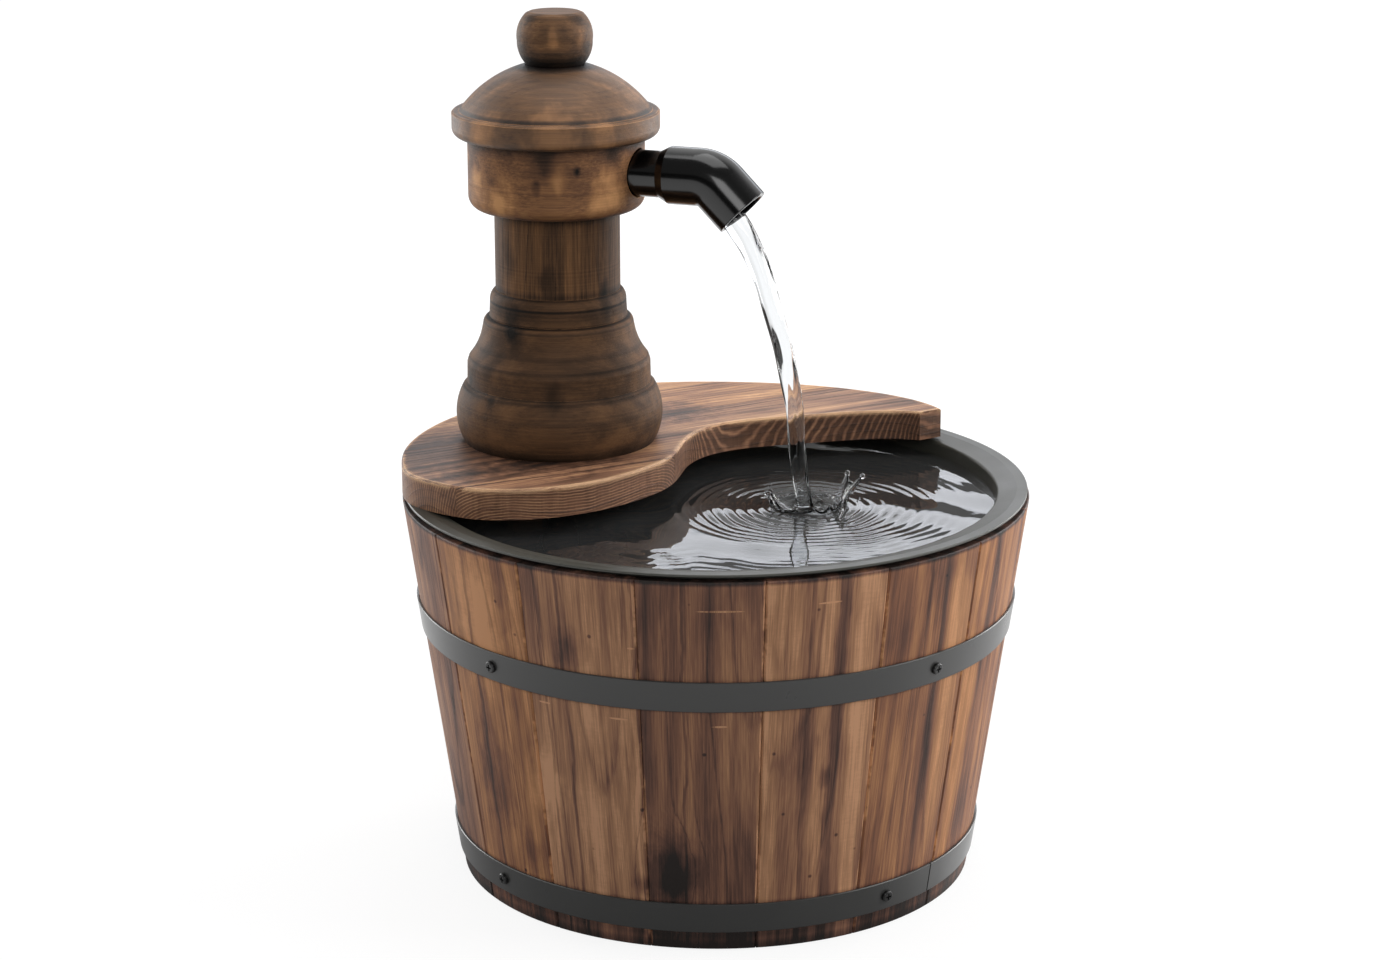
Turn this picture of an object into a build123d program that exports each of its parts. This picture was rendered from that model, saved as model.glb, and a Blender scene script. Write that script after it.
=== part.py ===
from build123d import *
import os
from math import cos, degrees, radians, sin, sqrt

# Wooden garden fountain: a coopered half barrel with a lift-out plastic liner, a board over half
# of the rim, a turned tower standing on the board, and a pump under it that feeds a bent spout.
# Millimetres, +Z up. The origin is the middle of the barrel's foot. +X is the way the spout points.

os.makedirs("parts", exist_ok=True)

# Barrel: staves, floor and steel hoops
barrel_height = 210.0
top_radius = 170.0
base_radius = 140.3
stave_count = 16
stave_thickness = 12.0
stave_gap = 0.3
stave_edge_break = 0.9
stave_end_break = 0.6
first_seam_angle = 6.0
croze_depth = 4.0
floor_height = 16.0
floor_thickness = 12.0
floor_gap = 0.4
floor_clearance = 0.3
floor_plank_count = 3
hoop_width = 16.5
hoop_thickness = 1.3
hoop_seat = 0.1
hoop_edge_break = 0.3
hoop_slit = 0.9
lower_hoop_middle = 18.8
upper_hoop_middle = 146.8
lower_hoop_slit_angle = -18.0
upper_hoop_slit_angle = 107.0
hoop_screw_count = 4
lower_screw_angle = -31.5
upper_screw_angle = -25.6
hoop_screw_head_radius = 3.2
hoop_screw_head_height = 1.9
hoop_screw_head_round = 0.9
hoop_screw_shank_radius = 1.5
hoop_screw_length = 9.0
screw_recess_width = 0.9
screw_recess_length = 3.6
screw_recess_depth = 0.9
pilot_clearance = 0.05

# Liner: the black plastic bowl that hangs by its rim on the stave tops
liner_rim_inset = 1.1
liner_rim_width = 16.3
liner_lip_width = 5.9
liner_wall = 2.0
liner_rim_thickness = 3.7
liner_rim_drop = 2.4
liner_lip_thickness = 1.1
liner_floor_gap = 3.0
liner_bottom_round = 9.0
liner_mouth_round = 1.6
liner_rim_round = 0.5

# Board over the back half of the rim: three planks, dowelled at their seams and held by two battens
board_thickness = 16.5
board_grain_angle = 50.0
board_edge_break = 0.9
front_seam_share = 0.053
rear_seam_share = 0.494
plank_gap = 0.2
batten_thickness = 12.0
batten_width = 18.0
batten_end_break = 4.0
batten_reach = 44.2
batten_wall_gap = 3.0
front_batten_start_share = 0.135
rear_batten_start_share = 0.282
board_dowel_radius = 4.0
board_dowel_length = 30.0
front_seam_dowel_shares = (-0.659, -0.412)
rear_seam_dowel_shares = (-0.735, 0.059, 0.353, 0.618)
batten_screw_inset = 8.0
batten_screw_head_radius = 3.6
batten_screw_sink = 2.4
batten_screw_shank_radius = 1.75
batten_screw_length = 22.0
cable_notch_width = 9.0
cable_notch_height = 7.5
cable_notch_length = 60.0

# Tower: turned base, column, head, cap and knob on one axis
tower_offset_share = 0.53824
tower_base_radius = 56.6
tower_base_height = 84.5
column_radius = 34.0
column_height = 44.5
head_radius = 47.8
head_height = 39.3
head_round = 7.5
cap_radius = 56.0
cap_height = 38.2
cap_ledge_height = 13.7
cap_ledge_round = 5.0
cap_shoulder_width = 4.0
cap_shoulder_break = 0.9
cap_crown_radius = 16.5
knob_radius = 20.3
knob_height = 28.2
tower_bore_radius = 11.0
tenon_radius = 22.0
tenon_length = 8.0
tenon_end_gap = 0.5
wood_fit = 0.1
head_pocket_radius = 24.0
head_pocket_depth = 32.1
dowel_radius = 5.0
dowel_length = 26.0
cap_dowel_radius = 4.0
cap_dowel_length = 24.0
cap_dowel_reach = 36.0
tower_screw_reach = 38.0
tower_screw_head_radius = 4.2
tower_screw_head_height = 2.6
tower_screw_shank_radius = 2.1
tower_screw_length = 40.0
tower_screw_count = 4

# Water path: pipe, bent spout, riser elbow and hose
pipe_radius = 12.5
pipe_wall = 2.3
pipe_hole_clearance = 0.8
spout_below_head_top = 17.7
spout_radius = 15.5
spout_entry_place = -30.0
spout_entry_cone = 4.6
spout_entry_wall = 0.6
spout_bend_place = -2.4
spout_outlet_leg = 24.9
spout_bend_radius = 16.6
spout_bend_angle = 45.0
spout_socket_depth = 18.5
spout_outlet_socket_radius = 12.6
spout_outlet_socket_depth = 14.0
spout_passage_radius = 10.2
spout_mouth_break = 0.9
spout_rim_round = 0.5
push_fit = 0.05
pipe_end_gap = 0.5
riser_body_radius = 11.5
riser_shoulder_reach = 14.0
riser_spigot_length = 14.0
riser_leg_radius = 9.5
riser_leg_length = 12.6
riser_passage_radius = 4.8
barb_length = 18.0
hose_bore_radius = 6.5
hose_wall = 2.0
hose_fit = 0.05
hose_end_gap = 0.3

# Pump on the liner's floor, straight under the tower
pump_lift = 7.0
pump_height = 42.0
pump_width = 40.0
pump_motor_length = 36.0
pump_corner_round = 4.0
chamber_radius = 18.0
chamber_length = 14.0
chamber_wall = 2.5
chamber_front_wall = 1.5
intake_radius = 6.0
bridge_width = 3.2
nozzle_shoulder_radius = 8.0
nozzle_shoulder_height = 6.0
nozzle_passage_radius = 4.5
rotor_well_radius = 7.6
rotor_well_depth = 27.0
rotor_radius = 7.0
rotor_length = 24.0
rotor_sleeve_radius = 3.5
impeller_hub_radius = 5.0
impeller_radius = 13.0
impeller_height = 6.0
impeller_front_gap = 1.2
blade_count = 6
blade_thickness = 1.4
shaft_radius = 1.2
shaft_seat_depth = 3.0
running_fit = 0.05
seal_groove_width = 1.5
seal_groove_depth = 1.2
seal_clearance = 0.08
cup_radius = 6.5
cup_neck_radius = 2.6
cup_stem_radius = 2.2
cup_stem_length = 4.0
cup_lip = 1.2
cup_floor_gap = 0.3
cup_spread = 26.0
cup_first_place = 7.5
cup_second_place = 28.5
cover_wall = 1.6
cover_clearance = 0.3
cover_reach = 16.0
cover_corner_round = 3.0
cover_slot_width = 2.2
cover_slot_length = 9.0
cover_slot_count = 6
cover_slot_pitch = 5.4
dial_hole_radius = 1.9
dial_hole_reach = 6.6
dial_hole_count = 4
dial_spigot_radius = 3.0
dial_shutter_radius = 9.6
dial_shutter_thickness = 1.2
dial_knob_radius = 4.2
dial_knob_height = 3.0
dial_lever_length = 17.0
dial_lever_width = 2.6
dial_gap = 0.3
gland_radius = 5.0
gland_length = 8.0
gland_seat_depth = 3.0
gland_hole_radius = 2.6
gland_rise = 11.0

overrun = 1.0

# Outline of the board, as shares of the barrel's top radius, from the outer corner of its right
# end round the back and the left, then along the wavy edge over the water
board_edge_shares = [
    (0.524, 0.762), (0.441, 0.828), (0.241, 0.901), (0.000, 0.915), (-0.264, 0.866),
    (-0.512, 0.762), (-0.820, 0.474), (-0.956, 0.169), (-0.983, -0.103), (-0.958, -0.276),
    (-0.893, -0.450), (-0.822, -0.560), (-0.738, -0.615), (-0.635, -0.647), (-0.541, -0.655),
    (-0.472, -0.638), (-0.339, -0.561), (-0.225, -0.431), (-0.152, -0.278), (-0.117, -0.112),
    (-0.129, 0.018), (-0.146, 0.153), (-0.129, 0.265), (-0.055, 0.385), (0.111, 0.514),
    (0.282, 0.632), (0.388, 0.678), (0.472, 0.693),
]

# Corners of the turned base, as shares of its radius and height, from the foot up
base_bulge_shares = [(0.928, 0.0), (1.0, 0.195), (0.930, 0.365)]
base_band_shares = [(0.889, 0.392), (0.885, 0.520)]
base_flare_shares = [(0.868, 0.555), (0.786, 0.640), (0.738, 0.735)]
base_shoulder_shares = [(0.722, 0.790), (0.700, 0.812), (0.665, 0.824)]
base_collar_shares = [(0.657, 0.925), (0.643, 0.970), (0.605, 1.0)]

# Middle of the cap's dome, as shares of its radius and height
cap_dome_shares = [(0.705, 0.699)]

# Knob outline, as shares of its radius and height
knob_lower_shares = [(0.76, 0.0), (0.94, 0.205), (1.0, 0.46)]
knob_upper_shares = [(1.0, 0.46), (0.935, 0.79), (0.76, 0.97)]
knob_top_share = 0.66

# Heights and places that follow from the sizes above
taper = (top_radius - base_radius) / barrel_height
rim_top = barrel_height + liner_rim_thickness
liner_rim_radius = top_radius - liner_rim_inset
liner_seat_radius = liner_rim_radius - liner_lip_width
liner_mouth_radius = liner_rim_radius - liner_rim_width
mouth_height = rim_top - liner_rim_drop
lip_bottom = rim_top - liner_lip_thickness
board_top = rim_top + board_thickness
base_top = board_top + tower_base_height
column_top = base_top + column_height
head_top = column_top + head_height
cap_top = head_top + cap_height
knob_top = cap_top + knob_height
liner_bottom = floor_height + floor_thickness + liner_floor_gap
liner_floor = liner_bottom + liner_wall
spout_height = head_top - spout_below_head_top
pump_bottom = liner_floor + pump_lift
pump_middle = pump_bottom + pump_height / 2
pump_top = pump_bottom + pump_height
nozzle_shoulder_top = pump_middle + chamber_radius + nozzle_shoulder_height
hose_radius = hose_bore_radius + hose_wall
barb_radius = hose_bore_radius - hose_fit
front_seam = front_seam_share * top_radius
rear_seam = rear_seam_share * top_radius
tower_offset = tower_offset_share * top_radius
tower_axis = Axis((-tower_offset, 0, 0), (0, 0, 1))


def outer_radius(height):
    """Radius of the staves' outer face at a height above the ground."""
    return base_radius + taper * height


def inner_radius(height):
    """Radius of the staves' inner face at a height above the ground."""
    return outer_radius(height) - stave_thickness


def liner_radius(height):
    """Radius of the liner's inner wall, which leans as the staves do."""
    return liner_mouth_radius - taper * (mouth_height - height)


def radial_plane(angle, x=0, y=0):
    """Upright plane through the axis at (x, y), with its own x pointing out at the angle."""
    turn = radians(angle)
    return Plane(origin=(x, y, 0), x_dir=(cos(turn), sin(turn), 0), z_dir=(sin(turn), -cos(turn), 0))


def wall_plane(angle, height, stand_off=0):
    """Plane lying on the staves' outer face, facing outwards, stand_off proud of it."""
    turn = radians(angle)
    lean = sqrt(1 + taper**2)
    outward = Vector(cos(turn) / lean, sin(turn) / lean, -taper / lean)
    foot = Vector(outer_radius(height) * cos(turn), outer_radius(height) * sin(turn), height)
    upward = Vector(taper * cos(turn) / lean, taper * sin(turn) / lean, 1 / lean)
    return Plane(origin=foot + outward * stand_off, x_dir=upward, z_dir=outward)


def scaled(shares, width, height, foot=0):
    """Outline points from shares of a width and a height, standing on foot."""
    return [(x_share * width, foot + y_share * height) for x_share, y_share in shares]


def grain_point(along, across):
    """Point on the board from its distance along the grain and across it."""
    turn = radians(board_grain_angle)
    return (along * cos(turn) - across * sin(turn), along * sin(turn) + across * cos(turn))


def hoop_screw_angles(first):
    return [first + index * 360 / hoop_screw_count for index in range(hoop_screw_count)]


hoop_screws = [(upper_hoop_middle, angle) for angle in hoop_screw_angles(upper_screw_angle)]
hoop_screws += [(lower_hoop_middle, angle) for angle in hoop_screw_angles(lower_screw_angle)]

# Staves: sixteen leaning segments, each with its part of the croze that holds the floor
croze_radius = inner_radius(floor_height) + croze_depth
floor_top = floor_height + floor_thickness
stave_pitch = 360 / stave_count
seam_angle = degrees(stave_gap / top_radius)
stave_profile = [
    (inner_radius(0), 0),
    (outer_radius(0) - stave_end_break, 0),
    (outer_radius(stave_end_break), stave_end_break),
    (outer_radius(barrel_height - stave_end_break), barrel_height - stave_end_break),
    (outer_radius(barrel_height) - stave_end_break, barrel_height),
    (inner_radius(barrel_height), barrel_height),
    (inner_radius(floor_top), floor_top),
    (croze_radius, floor_top),
    (croze_radius, floor_height),
    (inner_radius(floor_height), floor_height),
]
for index in range(stave_count):
    start_angle = first_seam_angle + index * stave_pitch + seam_angle / 2
    middle_angle = start_angle + (stave_pitch - seam_angle) / 2
    with BuildPart() as stave:
        with BuildSketch(radial_plane(start_angle)):
            Polygon(*stave_profile, align=None)
        revolve(axis=Axis.Z, revolution_arc=stave_pitch - seam_angle)
        long_edges = stave.edges().filter_by(GeomType.LINE).sort_by(SortBy.LENGTH)[-2:]
        chamfer(long_edges, length=stave_edge_break)
        for height, angle in hoop_screws:
            apart = (angle - middle_angle + 180) % 360 - 180
            if abs(apart) < stave_pitch / 2:
                with BuildSketch(wall_plane(angle, height, overrun)):
                    Circle(hoop_screw_shank_radius + pilot_clearance)
                extrude(amount=-(hoop_screw_length + overrun), mode=Mode.SUBTRACT)
    stave.part.label = f"stave_{index + 1:02d}"
    export_step(stave.part, f"parts/stave_{index + 1:02d}.step")

# Floor: three planks cut to one disc, seated in the croze
floor_radius = croze_radius - floor_clearance
floor_plank_width = 2 * floor_radius / floor_plank_count
for index in range(floor_plank_count):
    plank_middle = (index - (floor_plank_count - 1) / 2) * floor_plank_width
    with BuildPart() as floor_plank:
        with BuildSketch(Plane.XY.offset(floor_height)):
            Circle(floor_radius)
            with Locations((0, plank_middle)):
                Rectangle(2 * floor_radius, floor_plank_width - floor_gap, mode=Mode.INTERSECT)
        extrude(amount=floor_thickness - floor_clearance)
    floor_plank.part.label = f"floor_plank_{index + 1}"
    export_step(floor_plank.part, f"parts/floor_plank_{index + 1}.step")

# Hoops: two rolled steel bands on the leaning staves, each with a slit where its ends meet
for name, middle, slit_angle, first_screw in (
    ("hoop_upper", upper_hoop_middle, upper_hoop_slit_angle, upper_screw_angle),
    ("hoop_lower", lower_hoop_middle, lower_hoop_slit_angle, lower_screw_angle),
):
    low = middle - hoop_width / 2
    high = middle + hoop_width / 2
    slit_turn = degrees(hoop_slit / outer_radius(middle))
    band_profile = [
        (outer_radius(low) + hoop_seat, low),
        (outer_radius(low) + hoop_seat + hoop_thickness - hoop_edge_break, low),
        (outer_radius(low) + hoop_seat + hoop_thickness, low + hoop_edge_break),
        (outer_radius(high) + hoop_seat + hoop_thickness, high - hoop_edge_break),
        (outer_radius(high) + hoop_seat + hoop_thickness - hoop_edge_break, high),
        (outer_radius(high) + hoop_seat, high),
    ]
    with BuildPart() as hoop:
        with BuildSketch(radial_plane(slit_angle + slit_turn / 2)):
            Polygon(*band_profile, align=None)
        revolve(axis=Axis.Z, revolution_arc=360 - slit_turn)
        for angle in hoop_screw_angles(first_screw):
            with BuildSketch(wall_plane(angle, middle, -overrun)):
                Circle(hoop_screw_shank_radius + pilot_clearance)
            extrude(amount=hoop_thickness + 2 * overrun, mode=Mode.SUBTRACT)
    hoop.part.label = name
    export_step(hoop.part, f"parts/{name}.step")

    with BuildPart() as band_screws:
        for angle in hoop_screw_angles(first_screw):
            seat = wall_plane(angle, middle, hoop_seat + hoop_thickness)
            with BuildSketch(seat):
                Circle(hoop_screw_head_radius)
            extrude(amount=hoop_screw_head_height)
            head_face = band_screws.faces(Select.LAST).sort_by(Axis(seat.origin, seat.z_dir))[-1]
            fillet(head_face.edges(), radius=hoop_screw_head_round)
            with BuildSketch(seat.offset(hoop_screw_head_height)):
                Rectangle(screw_recess_length, screw_recess_width)
                Rectangle(screw_recess_width, screw_recess_length)
            extrude(amount=-screw_recess_depth, mode=Mode.SUBTRACT)
            with BuildSketch(seat):
                Circle(hoop_screw_shank_radius)
            extrude(amount=-(hoop_screw_length - pilot_clearance))
    band_screws.part.label = f"{name}_screws"
    export_step(band_screws.part, f"parts/{name}_screws.step")

# Liner: a bowl whose rim is level outside and falls towards the water; its seat rests on the
# stave tops and its thin lip stands clear above them
liner_inner_foot = liner_radius(liner_floor)
liner_outer_foot = liner_radius(liner_bottom) + liner_wall
liner_outer_neck = liner_radius(barrel_height) + liner_wall
liner_profile = [
    (0, liner_bottom),
    (liner_outer_foot, liner_bottom),
    (liner_outer_neck, barrel_height),
    (liner_seat_radius, barrel_height),
    (liner_seat_radius, lip_bottom),
    (liner_rim_radius, lip_bottom),
    (liner_rim_radius, rim_top),
    (liner_seat_radius, rim_top),
    (liner_mouth_radius, mouth_height),
    (liner_inner_foot, liner_floor),
    (0, liner_floor),
]
with BuildPart() as liner:
    with BuildSketch(Plane.XZ):
        Polygon(*liner_profile, align=None)
    revolve(axis=Axis.Z)
    circles = liner.edges().filter_by(GeomType.CIRCLE)
    floor_corner = circles.filter_by(lambda edge: abs(edge.radius - liner_inner_foot) < liner_wall / 4)
    fillet(floor_corner, radius=liner_bottom_round)
    circles = liner.edges().filter_by(GeomType.CIRCLE)
    foot_corner = circles.filter_by(lambda edge: abs(edge.radius - liner_outer_foot) < liner_wall / 4)
    fillet(foot_corner, radius=liner_bottom_round + liner_wall)
    circles = liner.edges().filter_by(GeomType.CIRCLE)
    mouth_corner = circles.filter_by(lambda edge: abs(edge.radius - liner_mouth_radius) < liner_wall / 4)
    fillet(mouth_corner.sort_by(Axis.Z)[-1:], radius=liner_mouth_round)
    circles = liner.edges().filter_by(GeomType.CIRCLE)
    rim_corner = circles.filter_by(lambda edge: abs(edge.radius - liner_rim_radius) < liner_wall / 4)
    fillet(rim_corner.sort_by(Axis.Z)[-1:], radius=liner_rim_round)
liner.part.label = "liner"
export_step(liner.part, "parts/liner.step")

# Board: one wavy outline cut along the grain into three planks
board_points = [(x * top_radius, y * top_radius) for x, y in board_edge_shares]
board_reach = 2 * top_radius
plank_screw_bite = batten_screw_length - batten_thickness + pilot_clearance
plank_bands = {
    "board_front_plank": (front_seam - board_reach, front_seam - plank_gap / 2),
    "board_middle_plank": (front_seam + plank_gap / 2, rear_seam - plank_gap / 2),
    "board_rear_plank": (rear_seam + plank_gap / 2, rear_seam + board_reach),
}
tower_screw_pitch = 360 / tower_screw_count
tower_screw_turns = [
    radians(board_grain_angle + (index + 0.5) * tower_screw_pitch) for index in range(tower_screw_count)
]
tower_screw_places = [
    (-tower_offset + tower_screw_reach * cos(turn), tower_screw_reach * sin(turn))
    for turn in tower_screw_turns
]
batten_bottom = rim_top - batten_thickness
batten_end_radius = liner_radius(batten_bottom) - batten_wall_gap
tower_along = -tower_offset * cos(radians(board_grain_angle))
batten_places = {
    "batten_front": (tower_along - batten_reach, front_batten_start_share * top_radius),
    "batten_rear": (tower_along + batten_reach, rear_batten_start_share * top_radius),
}


def batten_span(name):
    """Place of a batten along the grain, and its start and end across it, clear of the liner's wall."""
    along, start = batten_places[name]
    return along, start, sqrt(batten_end_radius**2 - (abs(along) + batten_width / 2) ** 2)


def batten_screw_places(name):
    """Two screws into the plank where the batten is long, and one at its other end."""
    along, start, end = batten_span(name)
    middles = {"batten_front": (start + rear_seam) / 2, "batten_rear": (rear_seam + end) / 2}
    return [
        grain_point(along, start + batten_screw_inset),
        grain_point(along, middles[name]),
        grain_point(along, end - batten_screw_inset),
    ]


def seam_plane(along, across):
    """Plane that lies in a seam between two planks, at half the board's thickness."""
    turn = radians(board_grain_angle)
    x, y = grain_point(along, across)
    return Plane(
        origin=(x, y, rim_top + board_thickness / 2),
        x_dir=(cos(turn), sin(turn), 0),
        z_dir=(-sin(turn), cos(turn), 0),
    )


board_dowel_planes = [seam_plane(share * top_radius, front_seam) for share in front_seam_dowel_shares]
board_dowel_planes += [seam_plane(share * top_radius, rear_seam) for share in rear_seam_dowel_shares]


for name, (low, high) in plank_bands.items():
    with BuildPart() as plank:
        with BuildSketch(Plane.XY.offset(rim_top)):
            with BuildLine():
                wavy_edge = Spline(*board_points)
                Line(wavy_edge @ 1, wavy_edge @ 0)
            make_face()
            with Locations(grain_point(0, (low + high) / 2)):
                Rectangle(2 * board_reach, high - low, rotation=board_grain_angle, mode=Mode.INTERSECT)
        extrude(amount=board_thickness)
        seams = plank.edges().group_by(Axis.Z)[-1].filter_by(GeomType.BSPLINE)
        chamfer(seams, length=board_edge_break)
        with BuildSketch(Plane.XY.offset(rim_top - overrun)):
            with Locations((-tower_offset, 0)):
                Circle(tower_bore_radius)
            with Locations(*tower_screw_places):
                Circle(tower_screw_shank_radius + pilot_clearance)
        extrude(amount=board_thickness + 2 * overrun, mode=Mode.SUBTRACT)
        with BuildSketch(Plane.XY.offset(rim_top - overrun)):
            with Locations(*batten_screw_places("batten_front"), *batten_screw_places("batten_rear")):
                Circle(batten_screw_shank_radius + pilot_clearance)
        extrude(amount=overrun + plank_screw_bite, mode=Mode.SUBTRACT)
        with BuildSketch(Plane.XY.offset(rim_top - overrun)):
            with Locations((-top_radius, 0)):
                SlotOverall(cable_notch_length, cable_notch_width)
        extrude(amount=overrun + cable_notch_height, mode=Mode.SUBTRACT)
        for plane in board_dowel_planes:
            with BuildSketch(plane):
                Circle(board_dowel_radius + wood_fit)
        extrude(amount=board_dowel_length / 2 + tenon_end_gap, both=True, mode=Mode.SUBTRACT)
    plank.part.label = name
    export_step(plank.part, f"parts/{name}.step")

with BuildPart() as board_dowels:
    for plane in board_dowel_planes:
        with BuildSketch(plane):
            Circle(board_dowel_radius)
    extrude(amount=board_dowel_length / 2, both=True)
board_dowels.part.label = "board_dowels"
export_step(board_dowels.part, "parts/board_dowels.step")

# Battens: screwed across the planks from below, one each side of the tower, inside the rim, so
# that they also hold the board in its place on the rim
for name in batten_places:
    along, start, end = batten_span(name)
    with BuildPart() as batten:
        with BuildSketch(Plane.XY.offset(batten_bottom)):
            with Locations(grain_point(along, (start + end) / 2)):
                Rectangle(batten_width, end - start, rotation=board_grain_angle)
        extrude(amount=batten_thickness)
        low_edges = batten.edges().group_by(Axis.Z)[0].sort_by(SortBy.LENGTH)[:2]
        chamfer(low_edges, length=batten_end_break)
        with BuildSketch(Plane.XY.offset(batten_bottom - overrun)):
            with Locations(*batten_screw_places(name)):
                Circle(batten_screw_shank_radius + pilot_clearance)
        extrude(amount=batten_thickness + 2 * overrun, mode=Mode.SUBTRACT)
        with BuildSketch(Plane.XY.offset(batten_bottom - overrun)):
            with Locations(*batten_screw_places(name)):
                Circle(batten_screw_head_radius + pilot_clearance)
        extrude(amount=overrun + batten_screw_sink + pilot_clearance, mode=Mode.SUBTRACT)
    batten.part.label = name
    export_step(batten.part, f"parts/{name}.step")

with BuildPart() as batten_screws:
    with BuildSketch(Plane.XY.offset(batten_bottom)):
        with Locations(*batten_screw_places("batten_front"), *batten_screw_places("batten_rear")):
            Circle(batten_screw_head_radius)
    extrude(amount=batten_screw_sink)
    with BuildSketch(Plane.XY.offset(batten_bottom)):
        with Locations(*batten_screw_places("batten_front"), *batten_screw_places("batten_rear")):
            Circle(batten_screw_shank_radius)
    extrude(amount=batten_screw_length)
batten_screws.part.label = "batten_screws"
export_step(batten_screws.part, "parts/batten_screws.step")

with BuildPart() as tower_screws:
    with BuildSketch(Plane.XY.offset(rim_top)):
        with Locations(*tower_screw_places):
            Circle(tower_screw_head_radius)
    extrude(amount=-tower_screw_head_height)
    with BuildSketch(Plane.XY.offset(rim_top)):
        with Locations(*tower_screw_places):
            Circle(tower_screw_shank_radius)
    extrude(amount=tower_screw_length)
tower_screws.part.label = "tower_screws"
export_step(tower_screws.part, "parts/tower_screws.step")

# Tower base: bulge, band, flare and collar turned in one piece, with a socket for the column's tenon
tower_plane = radial_plane(0, -tower_offset)
with BuildPart() as tower_base:
    with BuildSketch(tower_plane):
        with BuildLine():
            bulge = scaled(base_bulge_shares, tower_base_radius, tower_base_height, board_top)
            band = scaled(base_band_shares, tower_base_radius, tower_base_height, board_top)
            flare = scaled(base_flare_shares, tower_base_radius, tower_base_height, board_top)
            shoulder = scaled(base_shoulder_shares, tower_base_radius, tower_base_height, board_top)
            collar = scaled(base_collar_shares, tower_base_radius, tower_base_height, board_top)
            Line((0, board_top), bulge[0])
            ThreePointArc(*bulge)
            Polyline(bulge[-1], *band, flare[0])
            ThreePointArc(*flare)
            Line(flare[-1], shoulder[0])
            ThreePointArc(*shoulder)
            Line(shoulder[-1], collar[0])
            ThreePointArc(*collar)
            Polyline(collar[-1], (0, base_top), (0, board_top))
        make_face()
    revolve(axis=tower_axis)
    with BuildSketch(Plane.XY.offset(board_top - overrun)):
        with Locations((-tower_offset, 0)):
            Circle(tower_bore_radius)
    extrude(amount=tower_base_height + 2 * overrun, mode=Mode.SUBTRACT)
    with BuildSketch(Plane.XY.offset(base_top + overrun)):
        with Locations((-tower_offset, 0)):
            Circle(tenon_radius + wood_fit)
    extrude(amount=-(tenon_length + tenon_end_gap + overrun), mode=Mode.SUBTRACT)
    with BuildSketch(Plane.XY.offset(board_top - overrun)):
        with Locations(*tower_screw_places):
            Circle(tower_screw_shank_radius + pilot_clearance)
    screw_bite = tower_screw_length - board_thickness + pilot_clearance
    extrude(amount=overrun + screw_bite, mode=Mode.SUBTRACT)
tower_base.part.label = "tower_base"
export_step(tower_base.part, "parts/tower_base.step")

# Column: a plain turned post with a tenon at each end
with BuildPart() as tower_column:
    for radius, foot, length in (
        (column_radius, base_top, column_height),
        (tenon_radius, base_top - tenon_length, column_height + 2 * tenon_length),
    ):
        with BuildSketch(Plane.XY.offset(foot)):
            with Locations((-tower_offset, 0)):
                Circle(radius)
        extrude(amount=length)
    with BuildSketch(Plane.XY.offset(base_top - tenon_length - overrun)):
        with Locations((-tower_offset, 0)):
            Circle(tower_bore_radius)
    extrude(amount=column_height + 2 * (tenon_length + overrun), mode=Mode.SUBTRACT)
tower_column.part.label = "tower_column"
export_step(tower_column.part, "parts/tower_column.step")

# Head: a drum with a socket below, a pocket above for the riser elbow, and the spout's hole in
# its side
cap_dowel_places = [(-tower_offset, side * cap_dowel_reach) for side in (-1, 1)]
with BuildPart() as tower_head:
    with BuildSketch(Plane.XY.offset(column_top)):
        with Locations((-tower_offset, 0)):
            Circle(head_radius)
    extrude(amount=head_height)
    fillet(tower_head.edges().sort_by(Axis.Z)[0], radius=head_round)
    with BuildSketch(Plane.XY.offset(column_top - overrun)):
        with Locations((-tower_offset, 0)):
            Circle(tower_bore_radius)
    extrude(amount=head_height, mode=Mode.SUBTRACT)
    with BuildSketch(Plane.XY.offset(column_top - overrun)):
        with Locations((-tower_offset, 0)):
            Circle(tenon_radius + wood_fit)
    extrude(amount=overrun + tenon_length + tenon_end_gap, mode=Mode.SUBTRACT)
    with BuildSketch(Plane.XY.offset(head_top + overrun)):
        with Locations((-tower_offset, 0)):
            Circle(head_pocket_radius)
    extrude(amount=-(head_pocket_depth + overrun), mode=Mode.SUBTRACT)
    with BuildSketch(Plane.YZ.offset(-tower_offset)):
        with Locations((0, spout_height)):
            Circle(pipe_radius + pipe_hole_clearance)
    extrude(amount=head_radius + overrun, mode=Mode.SUBTRACT)
    with BuildSketch(Plane.XY.offset(head_top + overrun)):
        with Locations(*cap_dowel_places):
            Circle(cap_dowel_radius + wood_fit)
    extrude(amount=-(overrun + cap_dowel_length / 2 + tenon_end_gap), mode=Mode.SUBTRACT)
tower_head.part.label = "tower_head"
export_step(tower_head.part, "parts/tower_head.step")

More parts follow.
